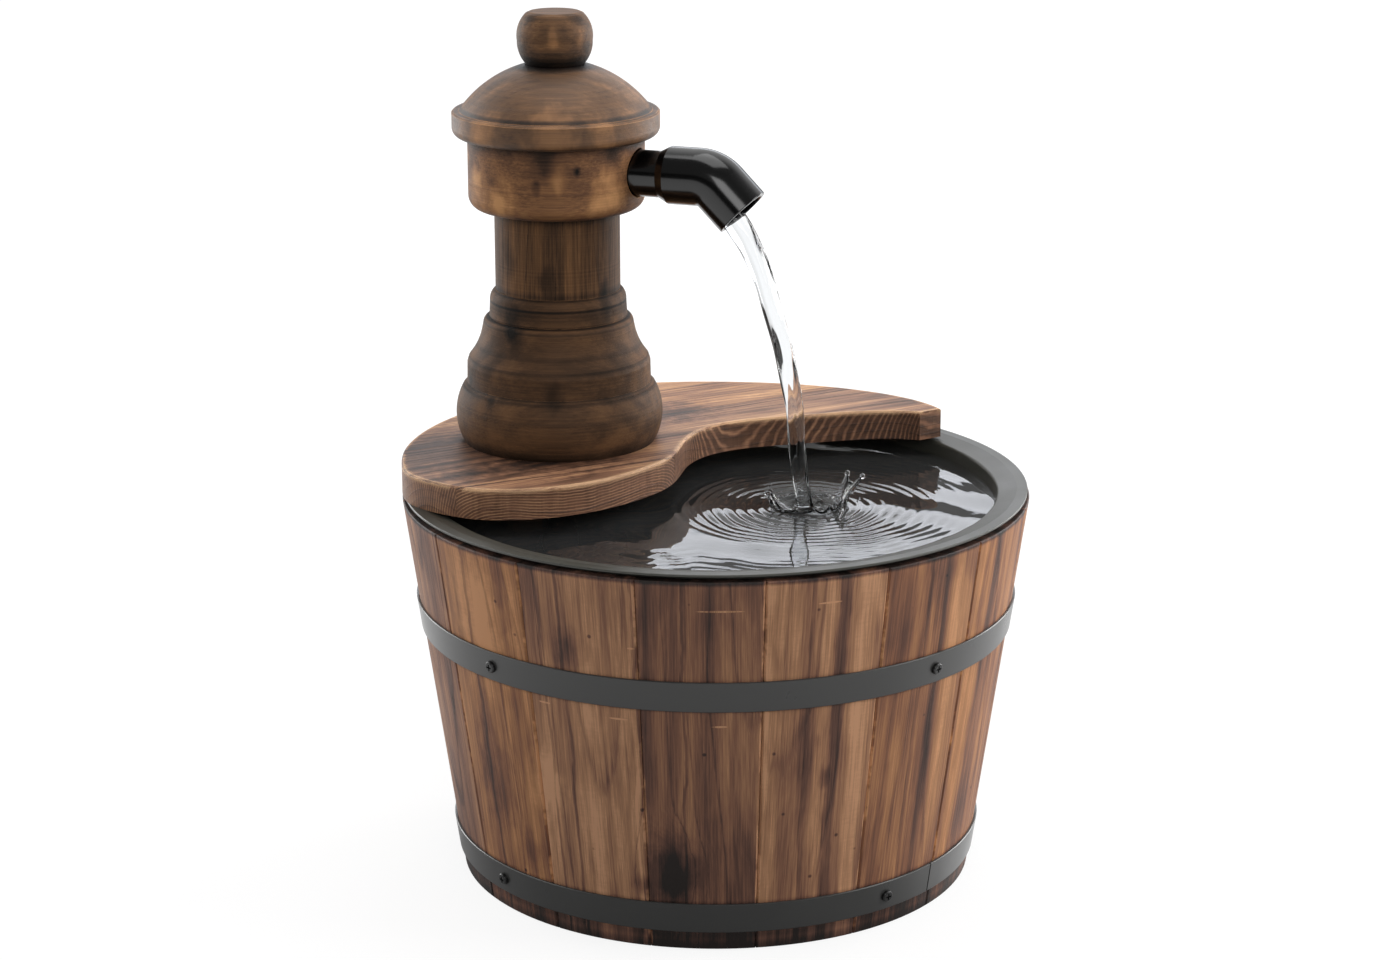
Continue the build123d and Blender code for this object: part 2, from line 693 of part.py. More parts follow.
# Cap: a ledge under a flattened dome, pegged to the head with two dowels
cap_ledge_top = head_top + cap_ledge_height
with BuildPart() as tower_cap:
    with BuildSketch(tower_plane):
        with BuildLine():
            dome_start = (cap_radius - cap_shoulder_width, cap_ledge_top)
            dome_middle = scaled(cap_dome_shares, cap_radius, cap_height, head_top)[0]
            corner = cap_ledge_round * (1 - cos(radians(45)))
            Line((0, head_top), (cap_radius - cap_ledge_round, head_top))
            ThreePointArc(
                (cap_radius - cap_ledge_round, head_top),
                (cap_radius - corner, head_top + corner),
                (cap_radius, head_top + cap_ledge_round),
            )
            Polyline(
                (cap_radius, head_top + cap_ledge_round),
                (cap_radius, cap_ledge_top - cap_shoulder_break),
                (cap_radius - cap_shoulder_break, cap_ledge_top),
                dome_start,
            )
            ThreePointArc(dome_start, dome_middle, (cap_crown_radius, cap_top))
            Polyline((cap_crown_radius, cap_top), (0, cap_top), (0, head_top))
        make_face()
    revolve(axis=tower_axis)
    with BuildSketch(Plane.XY.offset(head_top - overrun)):
        with Locations(*cap_dowel_places):
            Circle(cap_dowel_radius + wood_fit)
    extrude(amount=overrun + cap_dowel_length / 2 + tenon_end_gap, mode=Mode.SUBTRACT)
    with BuildSketch(Plane.XY.offset(cap_top + overrun)):
        with Locations((-tower_offset, 0)):
            Circle(dowel_radius + wood_fit)
    extrude(amount=-(dowel_length / 2 + tenon_end_gap + overrun), mode=Mode.SUBTRACT)
tower_cap.part.label = "tower_cap"
export_step(tower_cap.part, "parts/tower_cap.step")

with BuildPart() as cap_dowels:
    with BuildSketch(Plane.XY.offset(head_top - cap_dowel_length / 2)):
        with Locations(*cap_dowel_places):
            Circle(cap_dowel_radius)
    extrude(amount=cap_dowel_length)
cap_dowels.part.label = "cap_dowels"
export_step(cap_dowels.part, "parts/cap_dowels.step")

# Knob: a squat turned ball with a flat top, on a dowel
with BuildPart() as tower_knob:
    with BuildSketch(tower_plane):
        with BuildLine():
            lower = scaled(knob_lower_shares, knob_radius, knob_height, cap_top)
            upper = scaled(knob_upper_shares, knob_radius, knob_height, cap_top)
            Line((0, cap_top), lower[0])
            ThreePointArc(*lower)
            ThreePointArc(*upper)
            Polyline(upper[-1], (knob_radius * knob_top_share, knob_top), (0, knob_top), (0, cap_top))
        make_face()
    revolve(axis=tower_axis)
    with BuildSketch(Plane.XY.offset(cap_top - overrun)):
        with Locations((-tower_offset, 0)):
            Circle(dowel_radius + wood_fit)
    extrude(amount=overrun + dowel_length / 2 + tenon_end_gap, mode=Mode.SUBTRACT)
tower_knob.part.label = "tower_knob"
export_step(tower_knob.part, "parts/tower_knob.step")

with BuildPart() as knob_dowel:
    with BuildSketch(Plane.XY.offset(cap_top - dowel_length / 2)):
        with Locations((-tower_offset, 0)):
            Circle(dowel_radius)
    extrude(amount=dowel_length)
knob_dowel.part.label = "knob_dowel"
export_step(knob_dowel.part, "parts/knob_dowel.step")

# Pipe: a straight length from the riser elbow out through the head's wall into the spout
riser_shoulder = -tower_offset + riser_shoulder_reach
pipe_start = riser_shoulder + hose_end_gap
pipe_end = spout_entry_place + spout_socket_depth - pipe_end_gap
with BuildPart() as spout_pipe:
    with BuildSketch(Plane.YZ.offset(pipe_start)):
        with Locations((0, spout_height)):
            Circle(pipe_radius)
            Circle(pipe_radius - pipe_wall, mode=Mode.SUBTRACT)
    extrude(amount=pipe_end - pipe_start)
spout_pipe.part.label = "spout_pipe"
export_step(spout_pipe.part, "parts/spout_pipe.step")

# Spout: a bent elbow pushed on the pipe, its outlet looking down over the water
bend_turn = radians(spout_bend_angle)
outlet_way = Vector(cos(bend_turn), 0, -sin(bend_turn))
bend_corner = Vector(spout_bend_place, 0, spout_height)
outlet_middle = bend_corner + outlet_way * spout_outlet_leg
outlet_plane = Plane(origin=outlet_middle, x_dir=(0, 1, 0), z_dir=outlet_way)
entry_body_place = spout_entry_place + spout_entry_cone
passage_end = outlet_middle - outlet_way * (spout_outlet_socket_depth / 2)
with BuildPart() as spout_elbow:
    with BuildSketch(Plane.YZ.offset(spout_entry_place)):
        with Locations((0, spout_height)):
            Circle(pipe_radius + spout_entry_wall)
    with BuildSketch(Plane.YZ.offset(entry_body_place)):
        with Locations((0, spout_height)):
            Circle(spout_radius)
    loft()
    with BuildLine(Plane.XZ):
        FilletPolyline(
            (entry_body_place, spout_height),
            (spout_bend_place, spout_height),
            (outlet_middle.X, outlet_middle.Z),
            radius=spout_bend_radius,
        )
    with BuildSketch(Plane.YZ.offset(entry_body_place)):
        with Locations((0, spout_height)):
            Circle(spout_radius)
    sweep()
    with BuildLine(Plane.XZ):
        FilletPolyline(
            (spout_entry_place, spout_height),
            (spout_bend_place, spout_height),
            (passage_end.X, passage_end.Z),
            radius=spout_bend_radius,
        )
    with BuildSketch(Plane.YZ.offset(spout_entry_place)):
        with Locations((0, spout_height)):
            Circle(spout_passage_radius)
    sweep(mode=Mode.SUBTRACT)
    with BuildSketch(Plane.YZ.offset(spout_entry_place - overrun)):
        with Locations((0, spout_height)):
            Circle(pipe_radius + push_fit)
    extrude(amount=spout_socket_depth + overrun, mode=Mode.SUBTRACT)
    with BuildSketch(outlet_plane.offset(overrun)):
        Circle(spout_outlet_socket_radius)
    extrude(amount=-(spout_outlet_socket_depth + overrun), mode=Mode.SUBTRACT)
    mouth_face = spout_elbow.faces().sort_by(Axis(outlet_middle, outlet_way))[-1]
    mouth_edges = mouth_face.edges().sort_by(SortBy.LENGTH)
    chamfer(mouth_edges[0], length=spout_mouth_break)
    mouth_face = spout_elbow.faces().sort_by(Axis(outlet_middle, outlet_way))[-1]
    mouth_edges = mouth_face.edges().sort_by(SortBy.LENGTH)
    fillet(mouth_edges[-1], radius=spout_rim_round)
spout_elbow.part.label = "spout_elbow"
export_step(spout_elbow.part, "parts/spout_elbow.step")

# Riser elbow: turns the hose's water into the pipe, inside the head's pocket
riser_leg_foot = spout_height - riser_leg_length
with BuildPart() as riser_elbow:
    with Locations((-tower_offset, 0, spout_height)):
        Sphere(riser_body_radius)
    with BuildSketch(Plane.YZ.offset(-tower_offset)):
        with Locations((0, spout_height)):
            Circle(riser_body_radius)
    extrude(amount=riser_shoulder_reach)
    with BuildSketch(Plane.YZ.offset(riser_shoulder)):
        with Locations((0, spout_height)):
            Circle(pipe_radius - pipe_wall - push_fit)
    extrude(amount=riser_spigot_length)
    with BuildSketch(Plane.XY.offset(riser_leg_foot)):
        with Locations((-tower_offset, 0)):
            Circle(riser_leg_radius)
    extrude(amount=riser_leg_length)
    with BuildSketch(Plane.XY.offset(riser_leg_foot - barb_length)):
        with Locations((-tower_offset, 0)):
            Circle(barb_radius)
    extrude(amount=barb_length)
    with BuildSketch(Plane.XY.offset(riser_leg_foot - barb_length - overrun)):
        with Locations((-tower_offset, 0)):
            Circle(riser_passage_radius)
    extrude(amount=barb_length + riser_leg_length + overrun, mode=Mode.SUBTRACT)
    with BuildSketch(Plane.YZ.offset(-tower_offset)):
        with Locations((0, spout_height)):
            Circle(riser_passage_radius)
    extrude(amount=riser_shoulder_reach + riser_spigot_length + overrun, mode=Mode.SUBTRACT)
riser_elbow.part.label = "riser_elbow"
export_step(riser_elbow.part, "parts/riser_elbow.step")

# Riser hose: straight up from the pump's nozzle through the board and the tower
hose_foot = nozzle_shoulder_top + hose_end_gap
hose_top = riser_leg_foot - hose_end_gap
with BuildPart() as riser_hose:
    with BuildSketch(Plane.XY.offset(hose_foot)):
        with Locations((-tower_offset, 0)):
            Circle(hose_radius)
            Circle(hose_bore_radius, mode=Mode.SUBTRACT)
    extrude(amount=hose_top - hose_foot)
riser_hose.part.label = "riser_hose"
export_step(riser_hose.part, "parts/riser_hose.step")

# Pump: planes across its axis run along Y, with each plane's own z looking back to the motor
chamber_back = chamber_length / 2
chamber_front = -chamber_length / 2
chamber_floor = chamber_front + chamber_front_wall
motor_back = chamber_back + pump_motor_length


def pump_plane(place):
    """Plane across the pump's axis at a distance along Y, facing the motor."""
    return Plane(origin=(-tower_offset, place, pump_middle), x_dir=(-1, 0, 0), z_dir=(0, 1, 0))


def pump_foot_plane(height, place):
    """Level plane over one row of suction cups."""
    return Plane(origin=(-tower_offset, chamber_back + place, height))


# Pump housing: the sealed motor block, with the rotor's well, the seal's groove and the cup holes
seal_radius = chamber_radius - chamber_wall / 2
with BuildPart() as pump_housing:
    with BuildSketch(pump_plane(chamber_back)):
        RectangleRounded(pump_width, pump_height, pump_corner_round)
    extrude(amount=pump_motor_length)
    fillet(pump_housing.faces().sort_by(Axis.Y)[-1].edges(), radius=pump_corner_round / 2)
    with BuildSketch(pump_plane(chamber_back - overrun)):
        Circle(rotor_well_radius)
    extrude(amount=rotor_well_depth + overrun, mode=Mode.SUBTRACT)
    with BuildSketch(pump_plane(chamber_back - overrun)):
        Circle(shaft_radius + running_fit)
    extrude(amount=overrun + rotor_well_depth + shaft_seat_depth, mode=Mode.SUBTRACT)
    with BuildSketch(pump_plane(chamber_back - overrun)):
        Circle(seal_radius + seal_groove_width / 2)
        Circle(seal_radius - seal_groove_width / 2, mode=Mode.SUBTRACT)
    extrude(amount=overrun + seal_groove_depth, mode=Mode.SUBTRACT)
    with BuildSketch(pump_plane(motor_back + overrun)):
        with Locations((0, gland_rise)):
            Circle(gland_radius + pilot_clearance)
    extrude(amount=-(overrun + gland_seat_depth + pilot_clearance), mode=Mode.SUBTRACT)
    for place in (cup_first_place, cup_second_place):
        with BuildSketch(pump_foot_plane(pump_bottom - overrun, place)):
            with GridLocations(cup_spread, 0, 2, 1):
                Circle(cup_stem_radius + wood_fit)
        extrude(amount=overrun + cup_stem_length + wood_fit, mode=Mode.SUBTRACT)
pump_housing.part.label = "pump_housing"
export_step(pump_housing.part, "parts/pump_housing.step")

# Pump chamber: a shallow cup against the housing with the intake in front and the nozzle on top
with BuildPart() as pump_chamber:
    with BuildSketch(pump_plane(chamber_front)):
        Circle(chamber_radius)
    extrude(amount=chamber_length)
    with BuildSketch(Plane.XY.offset(pump_middle)):
        with Locations((-tower_offset, 0)):
            Circle(nozzle_shoulder_radius)
            Rectangle(2 * nozzle_shoulder_radius, chamber_length, mode=Mode.INTERSECT)
    extrude(amount=chamber_radius + nozzle_shoulder_height)
    with BuildSketch(Plane.XY.offset(nozzle_shoulder_top)):
        with Locations((-tower_offset, 0)):
            Circle(barb_radius)
    extrude(amount=barb_length)
    with BuildSketch(pump_plane(chamber_floor)):
        Circle(chamber_radius - chamber_wall)
    extrude(amount=chamber_length, mode=Mode.SUBTRACT)
    with BuildSketch(Plane.XY.offset(pump_middle)):
        with Locations((-tower_offset, 0)):
            Circle(nozzle_passage_radius)
    extrude(amount=chamber_radius + nozzle_shoulder_height + barb_length + overrun, mode=Mode.SUBTRACT)
    with BuildSketch(pump_plane(chamber_front - overrun)):
        Circle(intake_radius)
    extrude(amount=chamber_front_wall + 2 * overrun, mode=Mode.SUBTRACT)
    with BuildSketch(pump_plane(chamber_front)):
        Rectangle(2 * intake_radius + bridge_width, bridge_width)
        Circle(shaft_radius + running_fit, mode=Mode.SUBTRACT)
    extrude(amount=chamber_front_wall)
pump_chamber.part.label = "pump_chamber"
export_step(pump_chamber.part, "parts/pump_chamber.step")

# Chamber seal: a rubber ring in the housing's groove
with BuildPart() as chamber_seal:
    with BuildSketch(pump_plane(chamber_back + seal_clearance)):
        Circle(seal_radius + seal_groove_width / 2 - seal_clearance)
        Circle(seal_radius - seal_groove_width / 2 + seal_clearance, mode=Mode.SUBTRACT)
    extrude(amount=seal_groove_depth - 2 * seal_clearance)
    fillet(chamber_seal.edges().filter_by(GeomType.CIRCLE), radius=seal_groove_depth / 4)
chamber_seal.part.label = "chamber_seal"
export_step(chamber_seal.part, "parts/chamber_seal.step")

# Shaft: a fixed ceramic pin from the bridge to the bottom of the well
with BuildPart() as impeller_shaft:
    with BuildSketch(pump_plane(chamber_front)):
        Circle(shaft_radius)
    extrude(amount=chamber_length + rotor_well_depth + shaft_seat_depth - pipe_end_gap)
impeller_shaft.part.label = "impeller_shaft"
export_step(impeller_shaft.part, "parts/impeller_shaft.step")

# Impeller: hub, straight blades and the sleeve that carries the magnet, running on the shaft
impeller_front = chamber_floor + impeller_front_gap
impeller_back = impeller_front + impeller_height
rotor_front = chamber_back + rotor_well_depth - rotor_length - impeller_front_gap
with BuildPart() as impeller:
    with BuildSketch(pump_plane(impeller_front)):
        Circle(impeller_hub_radius)
        with PolarLocations(0, blade_count):
            with Locations((impeller_radius / 2, 0)):
                Rectangle(impeller_radius, blade_thickness)
    extrude(amount=impeller_height)
    with BuildSketch(pump_plane(impeller_back)):
        Circle(rotor_sleeve_radius)
    extrude(amount=rotor_front + rotor_length - impeller_back)
    with BuildSketch(pump_plane(impeller_front - overrun)):
        Circle(shaft_radius + running_fit)
    extrude(amount=rotor_front + rotor_length - impeller_front + 2 * overrun, mode=Mode.SUBTRACT)
impeller.part.label = "impeller"
export_step(impeller.part, "parts/impeller.step")

with BuildPart() as rotor_magnet:
    with BuildSketch(pump_plane(rotor_front)):
        Circle(rotor_radius)
        Circle(rotor_sleeve_radius, mode=Mode.SUBTRACT)
    extrude(amount=rotor_length)
rotor_magnet.part.label = "rotor_magnet"
export_step(rotor_magnet.part, "parts/rotor_magnet.step")

# Strainer cover: a slotted shell that pushes over the chamber and pulls off towards -Y
cover_half = chamber_radius + cover_clearance + cover_wall
cover_inside = 2 * (cover_half - cover_wall)
cover_front = chamber_front - cover_reach
cover_back = chamber_back - cover_clearance
dial_hole_turns = [(index + 0.5) * 360 / dial_hole_count for index in range(dial_hole_count)]
dial_holes = [
    (dial_hole_reach * cos(radians(turn)), dial_hole_reach * sin(radians(turn))) for turn in dial_hole_turns
]
with BuildPart() as strainer_cover:
    with BuildSketch(pump_plane(cover_front)):
        RectangleRounded(2 * cover_half, 2 * cover_half, cover_corner_round)
    extrude(amount=cover_back - cover_front)
    fillet(strainer_cover.faces().sort_by(Axis.Y)[0].edges(), radius=cover_corner_round / 2)
    with BuildSketch(pump_plane(cover_front + cover_wall)):
        RectangleRounded(cover_inside, cover_inside, cover_corner_round / 2)
    extrude(amount=cover_back - cover_front, mode=Mode.SUBTRACT)
    with BuildSketch(Plane.XY.offset(pump_middle)):
        with Locations((-tower_offset, chamber_back / 2)):
            Rectangle(2 * (nozzle_shoulder_radius + cover_clearance), chamber_back + cover_clearance)
        with Locations((-tower_offset, 0)):
            Circle(nozzle_shoulder_radius + cover_clearance)
    extrude(amount=cover_half + overrun, mode=Mode.SUBTRACT)
    with BuildSketch(pump_plane(cover_front - overrun)):
        with GridLocations(cover_slot_pitch, 2 * (cover_half - cover_slot_length), cover_slot_count, 2):
            SlotOverall(cover_slot_length, cover_slot_width, rotation=90)
        Circle(dial_spigot_radius + running_fit)
        with Locations(*dial_holes):
            Circle(dial_hole_radius)
    extrude(amount=cover_wall + 2 * overrun, mode=Mode.SUBTRACT)
strainer_cover.part.label = "strainer_cover"
export_step(strainer_cover.part, "parts/strainer_cover.step")

# Flow dial: a lever in front and a holed shutter behind the cover's front wall
shutter_front = cover_front + cover_wall + dial_gap
with BuildPart() as flow_dial:
    with BuildSketch(pump_plane(cover_front - dial_gap)):
        Circle(dial_knob_radius)
        SlotOverall(dial_lever_length, dial_lever_width)
    extrude(amount=-dial_knob_height)
    with BuildSketch(pump_plane(cover_front - dial_gap)):
        Circle(dial_spigot_radius)
    extrude(amount=cover_wall + 2 * dial_gap)
    with BuildSketch(pump_plane(shutter_front)):
        Circle(dial_shutter_radius)
        with Locations(*dial_holes):
            Circle(dial_hole_radius, mode=Mode.SUBTRACT)
    extrude(amount=dial_shutter_thickness)
flow_dial.part.label = "flow_dial"
export_step(flow_dial.part, "parts/flow_dial.step")

# Suction cups: four soft feet pressed into the housing's underside
cup_height = pump_lift - cup_floor_gap
cup_profile = [
    (0, pump_bottom + cup_stem_length),
    (-cup_stem_radius, pump_bottom + cup_stem_length),
    (-cup_stem_radius, pump_bottom),
    (-cup_neck_radius, pump_bottom),
    (-cup_neck_radius, pump_bottom - cup_height / 2),
    (-cup_radius, pump_bottom - cup_height + cup_lip / 2),
    (-cup_radius, pump_bottom - cup_height),
    (-cup_radius + cup_lip, pump_bottom - cup_height),
    (0, pump_bottom - cup_height / 2 - cup_lip),
]
with BuildPart() as suction_cups:
    for place in (cup_first_place, cup_second_place):
        for side in (-1, 1):
            cup_x = -tower_offset + side * cup_spread / 2
            cup_y = chamber_back + place
            with BuildSketch(radial_plane(180, cup_x, cup_y)):
                Polygon(*[(-x, z) for x, z in cup_profile], align=None)
            revolve(axis=Axis((cup_x, cup_y, 0), (0, 0, 1)))
suction_cups.part.label = "suction_cups"
export_step(suction_cups.part, "parts/suction_cups.step")

# Cable gland: a drilled boss in the housing's back, with nothing in it
with BuildPart() as cable_gland:
    with BuildSketch(pump_plane(motor_back - gland_seat_depth)):
        with Locations((0, gland_rise)):
            Circle(gland_radius)
    extrude(amount=gland_seat_depth + gland_length)
    fillet(cable_gland.faces().sort_by(Axis.Y)[-1].edges(), radius=gland_radius / 4)
    with BuildSketch(pump_plane(motor_back - gland_seat_depth - overrun)):
        with Locations((0, gland_rise)):
            Circle(gland_hole_radius)
    extrude(amount=gland_seat_depth + gland_length + 2 * overrun, mode=Mode.SUBTRACT)
cable_gland.part.label = "cable_gland"
export_step(cable_gland.part, "parts/cable_gland.step")
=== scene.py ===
import math
import random

import bmesh
import bpy
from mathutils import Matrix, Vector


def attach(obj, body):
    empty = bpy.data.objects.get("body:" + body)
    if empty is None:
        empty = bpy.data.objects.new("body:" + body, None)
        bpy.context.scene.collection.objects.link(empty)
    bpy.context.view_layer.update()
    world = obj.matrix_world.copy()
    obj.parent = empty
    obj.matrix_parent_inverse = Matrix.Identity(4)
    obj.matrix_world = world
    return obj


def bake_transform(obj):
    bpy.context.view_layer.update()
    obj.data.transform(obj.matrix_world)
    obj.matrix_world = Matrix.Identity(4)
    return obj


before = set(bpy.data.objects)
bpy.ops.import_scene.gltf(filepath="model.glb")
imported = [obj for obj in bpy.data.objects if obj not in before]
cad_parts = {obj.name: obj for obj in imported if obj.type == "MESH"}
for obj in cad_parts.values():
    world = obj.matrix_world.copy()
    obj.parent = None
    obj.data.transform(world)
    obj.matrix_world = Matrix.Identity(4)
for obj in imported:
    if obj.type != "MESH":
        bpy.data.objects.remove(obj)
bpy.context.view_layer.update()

MM = 0.001

# Sizes in millimetres and turns in degrees that the looks share with the solids
BARREL_HEIGHT = 210
BARREL_FOOT_RADIUS = 140.3
BARREL_TAPER = 29.7 / 210
STAVE_COUNT = 16
FIRST_SEAM = 6
BOARD_TOP = 230.2
BOARD_GRAIN = 50
BOARD_SEAMS = (9, 84)
LINER_MOUTH_RADIUS = 152.6
LINER_MOUTH_HEIGHT = 211.3
LINER_FLOOR = 33
LINER_FLOOR_ROUND = 9
WATER_LEVEL = 204
LANDING = (52, 1)

# The camera stands on this side, and its view lays out the lamps, the waves and the tower's grain
VIEW_TURN = math.radians(20)
VIEW_RIGHT = (math.cos(VIEW_TURN), math.sin(VIEW_TURN), 0)
VIEW_AWAY = (-math.sin(VIEW_TURN), math.cos(VIEW_TURN), 0)
UP = (0, 0, 1)


def linear(code):
    """Turns an sRGB hex colour into the linear colour that a shader takes."""
    channels = [int(code[place : place + 2], 16) / 255 for place in (1, 3, 5)]
    return [c / 12.92 if c <= 0.04045 else ((c + 0.055) / 1.055) ** 2.4 for c in channels] + [1]


def add(tree, kind, takes=(), stops=(), **settings):
    """Adds a node with its settings; a second word in kind is its operation. takes gives its sockets, in their
    order or by their names, numbers, colours, nodes or outputs."""
    kind, *operation = kind.split()
    node = tree.nodes.new("ShaderNode" + kind)
    if operation:
        node.operation = operation[0]
    for name, value in settings.items():
        setattr(node, name, value)
    for place, (position, colour) in enumerate(stops):
        points = node.color_ramp.elements
        point = points[place] if place < len(points) else points.new(position)
        point.position = position
        point.color = linear(colour) if isinstance(colour, str) else [colour] * 3 + [1]
    for socket, value in takes.items() if isinstance(takes, dict) else enumerate(takes):
        if isinstance(value, bpy.types.Node):
            value = value.outputs[0]
        if isinstance(value, bpy.types.NodeSocket):
            tree.links.new(value, node.inputs[socket])
        else:
            node.inputs[socket].default_value = value
    return node


def new_material(name):
    material = bpy.data.materials.new(name)
    material.use_nodes = True
    material.node_tree.nodes.clear()
    return material, material.node_tree


def finish_material(tree, shader):
    add(tree, "OutputMaterial", {"Surface": shader})


def measured(tree, *ways):
    """A place in a pattern: each distance in millimetres over the pattern's size along it. A piece's number
    has size one."""
    return add(tree, "CombineXYZ", [add(tree, "Math DIVIDE", [way, size]) for way, size in ways])


def away_from(tree, value, middle):
    """How far a value is from a middle, on either side."""
    return add(tree, "Math ABSOLUTE", [add(tree, "Math SUBTRACT", [value, middle])])


# For a MapRange: a soft step, and sockets that stretch a noise's middle to run from -1 to 1
SMOOTH = {"interpolation_type": "SMOOTHSTEP"}
EVEN = (0.34, 0.66, -1, 1)

# Wood. All but the dowels is fir, scorched with a flame and brushed, then oiled: brown earlywood, nearly
# black latewood lines, soft black smudges where the flame stayed, tan wood where edges wore. Some smudges
# and dark rows are painted shade, and the pale upper edges are partly a painted highlight.
# How far its pith sways along a piece and lies aside in different pieces, in millimetres
PITH_SWAY = 26
PITH_ASIDE = 70
# How much the pith tilts for its length, and how far fibres ruffle a ring for its width
PITH_TILT = 0.2
RING_RUFFLE = 0.55
# Darkness from one ring to the next: pale earlywood, then a line of latewood that ends sharply
LATEWOOD = ((0, 0), (0.50, 0.04), (0.82, 0.28), (0.91, 1), (0.96, 0.9), (1, 0))
FAINT_LINES = 4
# Size of the frays round a knot, a smudge or a brushed patch
FRAY_SIZE = 6.25
# A knot's core and halo: the share of its reach where each starts to fade and where it ends, its strength
KNOT_LAYERS = ((0.3, 1.2, 0.34), (0.9, 2.4, 0.22))
# How far a stave's bands sway and fray, in degrees
BAND_SWAY = 2.6
BAND_FRAY = 1.2
NICK_HALF_HEIGHT = 0.8
PIN_KNOTS_APART = 19
# Rings at the board's sawn sides, and steps of the lathe's gouge
END_RING = 1.5
GOUGE_STEP = 1.1111


def stave_grain(tree):
    """Distances across, along and into a stave in millimetres, and the stave's number from the first seam."""
    place = add(tree, "TexCoord").outputs["Object"]
    parts = add(tree, "SeparateXYZ", [place]).outputs
    angle = add(tree, "Math ARCTAN2", [parts["Y"], parts["X"]])
    pitch = 2 * math.pi / STAVE_COUNT
    turned = add(tree, "Math SUBTRACT", [angle, math.radians(FIRST_SEAM)])
    count = add(tree, "Math DIVIDE", [turned, pitch])
    number = add(tree, "Math FLOOR", [count])
    share = add(tree, "Math SUBTRACT", [count, number])
    number = add(tree, "Math FLOORED_MODULO", [number, STAVE_COUNT])
    level = add(tree, "CombineXYZ", [parts["X"], parts["Y"], 0])
    radius = add(tree, "VectorMath LENGTH", [level]).outputs["Value"]
    radius = add(tree, "Math MULTIPLY", [radius, 1 / MM])
    off_middle = add(tree, "Math SUBTRACT", [share, 0.5])
    turn = add(tree, "Math MULTIPLY", [off_middle, pitch])
    across = add(tree, "Math MULTIPLY", [turn, radius])
    along = add(tree, "Math MULTIPLY", [parts["Z"], 1 / MM])
    lean = add(tree, "Math MULTIPLY_ADD", [along, BARREL_TAPER, BARREL_FOOT_RADIUS])
    depth = add(tree, "Math SUBTRACT", [lean, radius])
    return across, along, depth, number


def straight_grain(across_way, along_way, depth_way):
    """Grain of a straight piece of wood, from the three directions that it lies in."""

    def place_in(tree):
        place = add(tree, "TexCoord").outputs["Object"]
        ways = []
        for way in (across_way, along_way, depth_way):
            in_mm = [share / MM for share in way]
            ways.append(add(tree, "VectorMath DOT_PRODUCT", [place, in_mm]).outputs["Value"])
        across, along, depth = ways
        return across, along, depth, 0

    return place_in


def board_grain(tree):
    """Grain of the board's three planks, numbered from the water's side."""
    turn = math.radians(BOARD_GRAIN)
    in_board = straight_grain((-math.sin(turn), math.cos(turn), 0), (math.cos(turn), math.sin(turn), 0), UP)
    across, along, depth, number = in_board(tree)
    depth = add(tree, "Math SUBTRACT", [depth, BOARD_TOP])
    for seam in BOARD_SEAMS:
        beyond = add(tree, "Math GREATER_THAN", [across, seam])
        number = add(tree, "Math ADD", [number, beyond])
    return across, along, depth, number


def nearness(tree, spots, stretch, fray=0.7):
    """One at the middle of the nearest spot, falling to nothing at its edge; spots are x, y, z, radius."""
    place = add(tree, "TexCoord").outputs["Object"]
    squeezed = add(tree, "VectorMath MULTIPLY", [place, [s / MM for s in stretch]])
    wander = add(tree, "TexNoise", {"Vector": squeezed, "Scale": 1 / FRAY_SIZE, "Detail": 3})
    nearest = None
    for x, y, z, radius in spots:
        spot = [x * stretch[0], y * stretch[1], z * stretch[2]]
        far = add(tree, "VectorMath DISTANCE", [squeezed, spot]).outputs["Value"]
        share = add(tree, "Math DIVIDE", [far, radius])
        nearest = share if nearest is None else add(tree, "Math MINIMUM", [nearest, share])
    ragged = add(tree, "Math MULTIPLY_ADD", [wander, fray, -0.5 * fray])
    return add(tree, "Math ADD", [nearest, ragged])


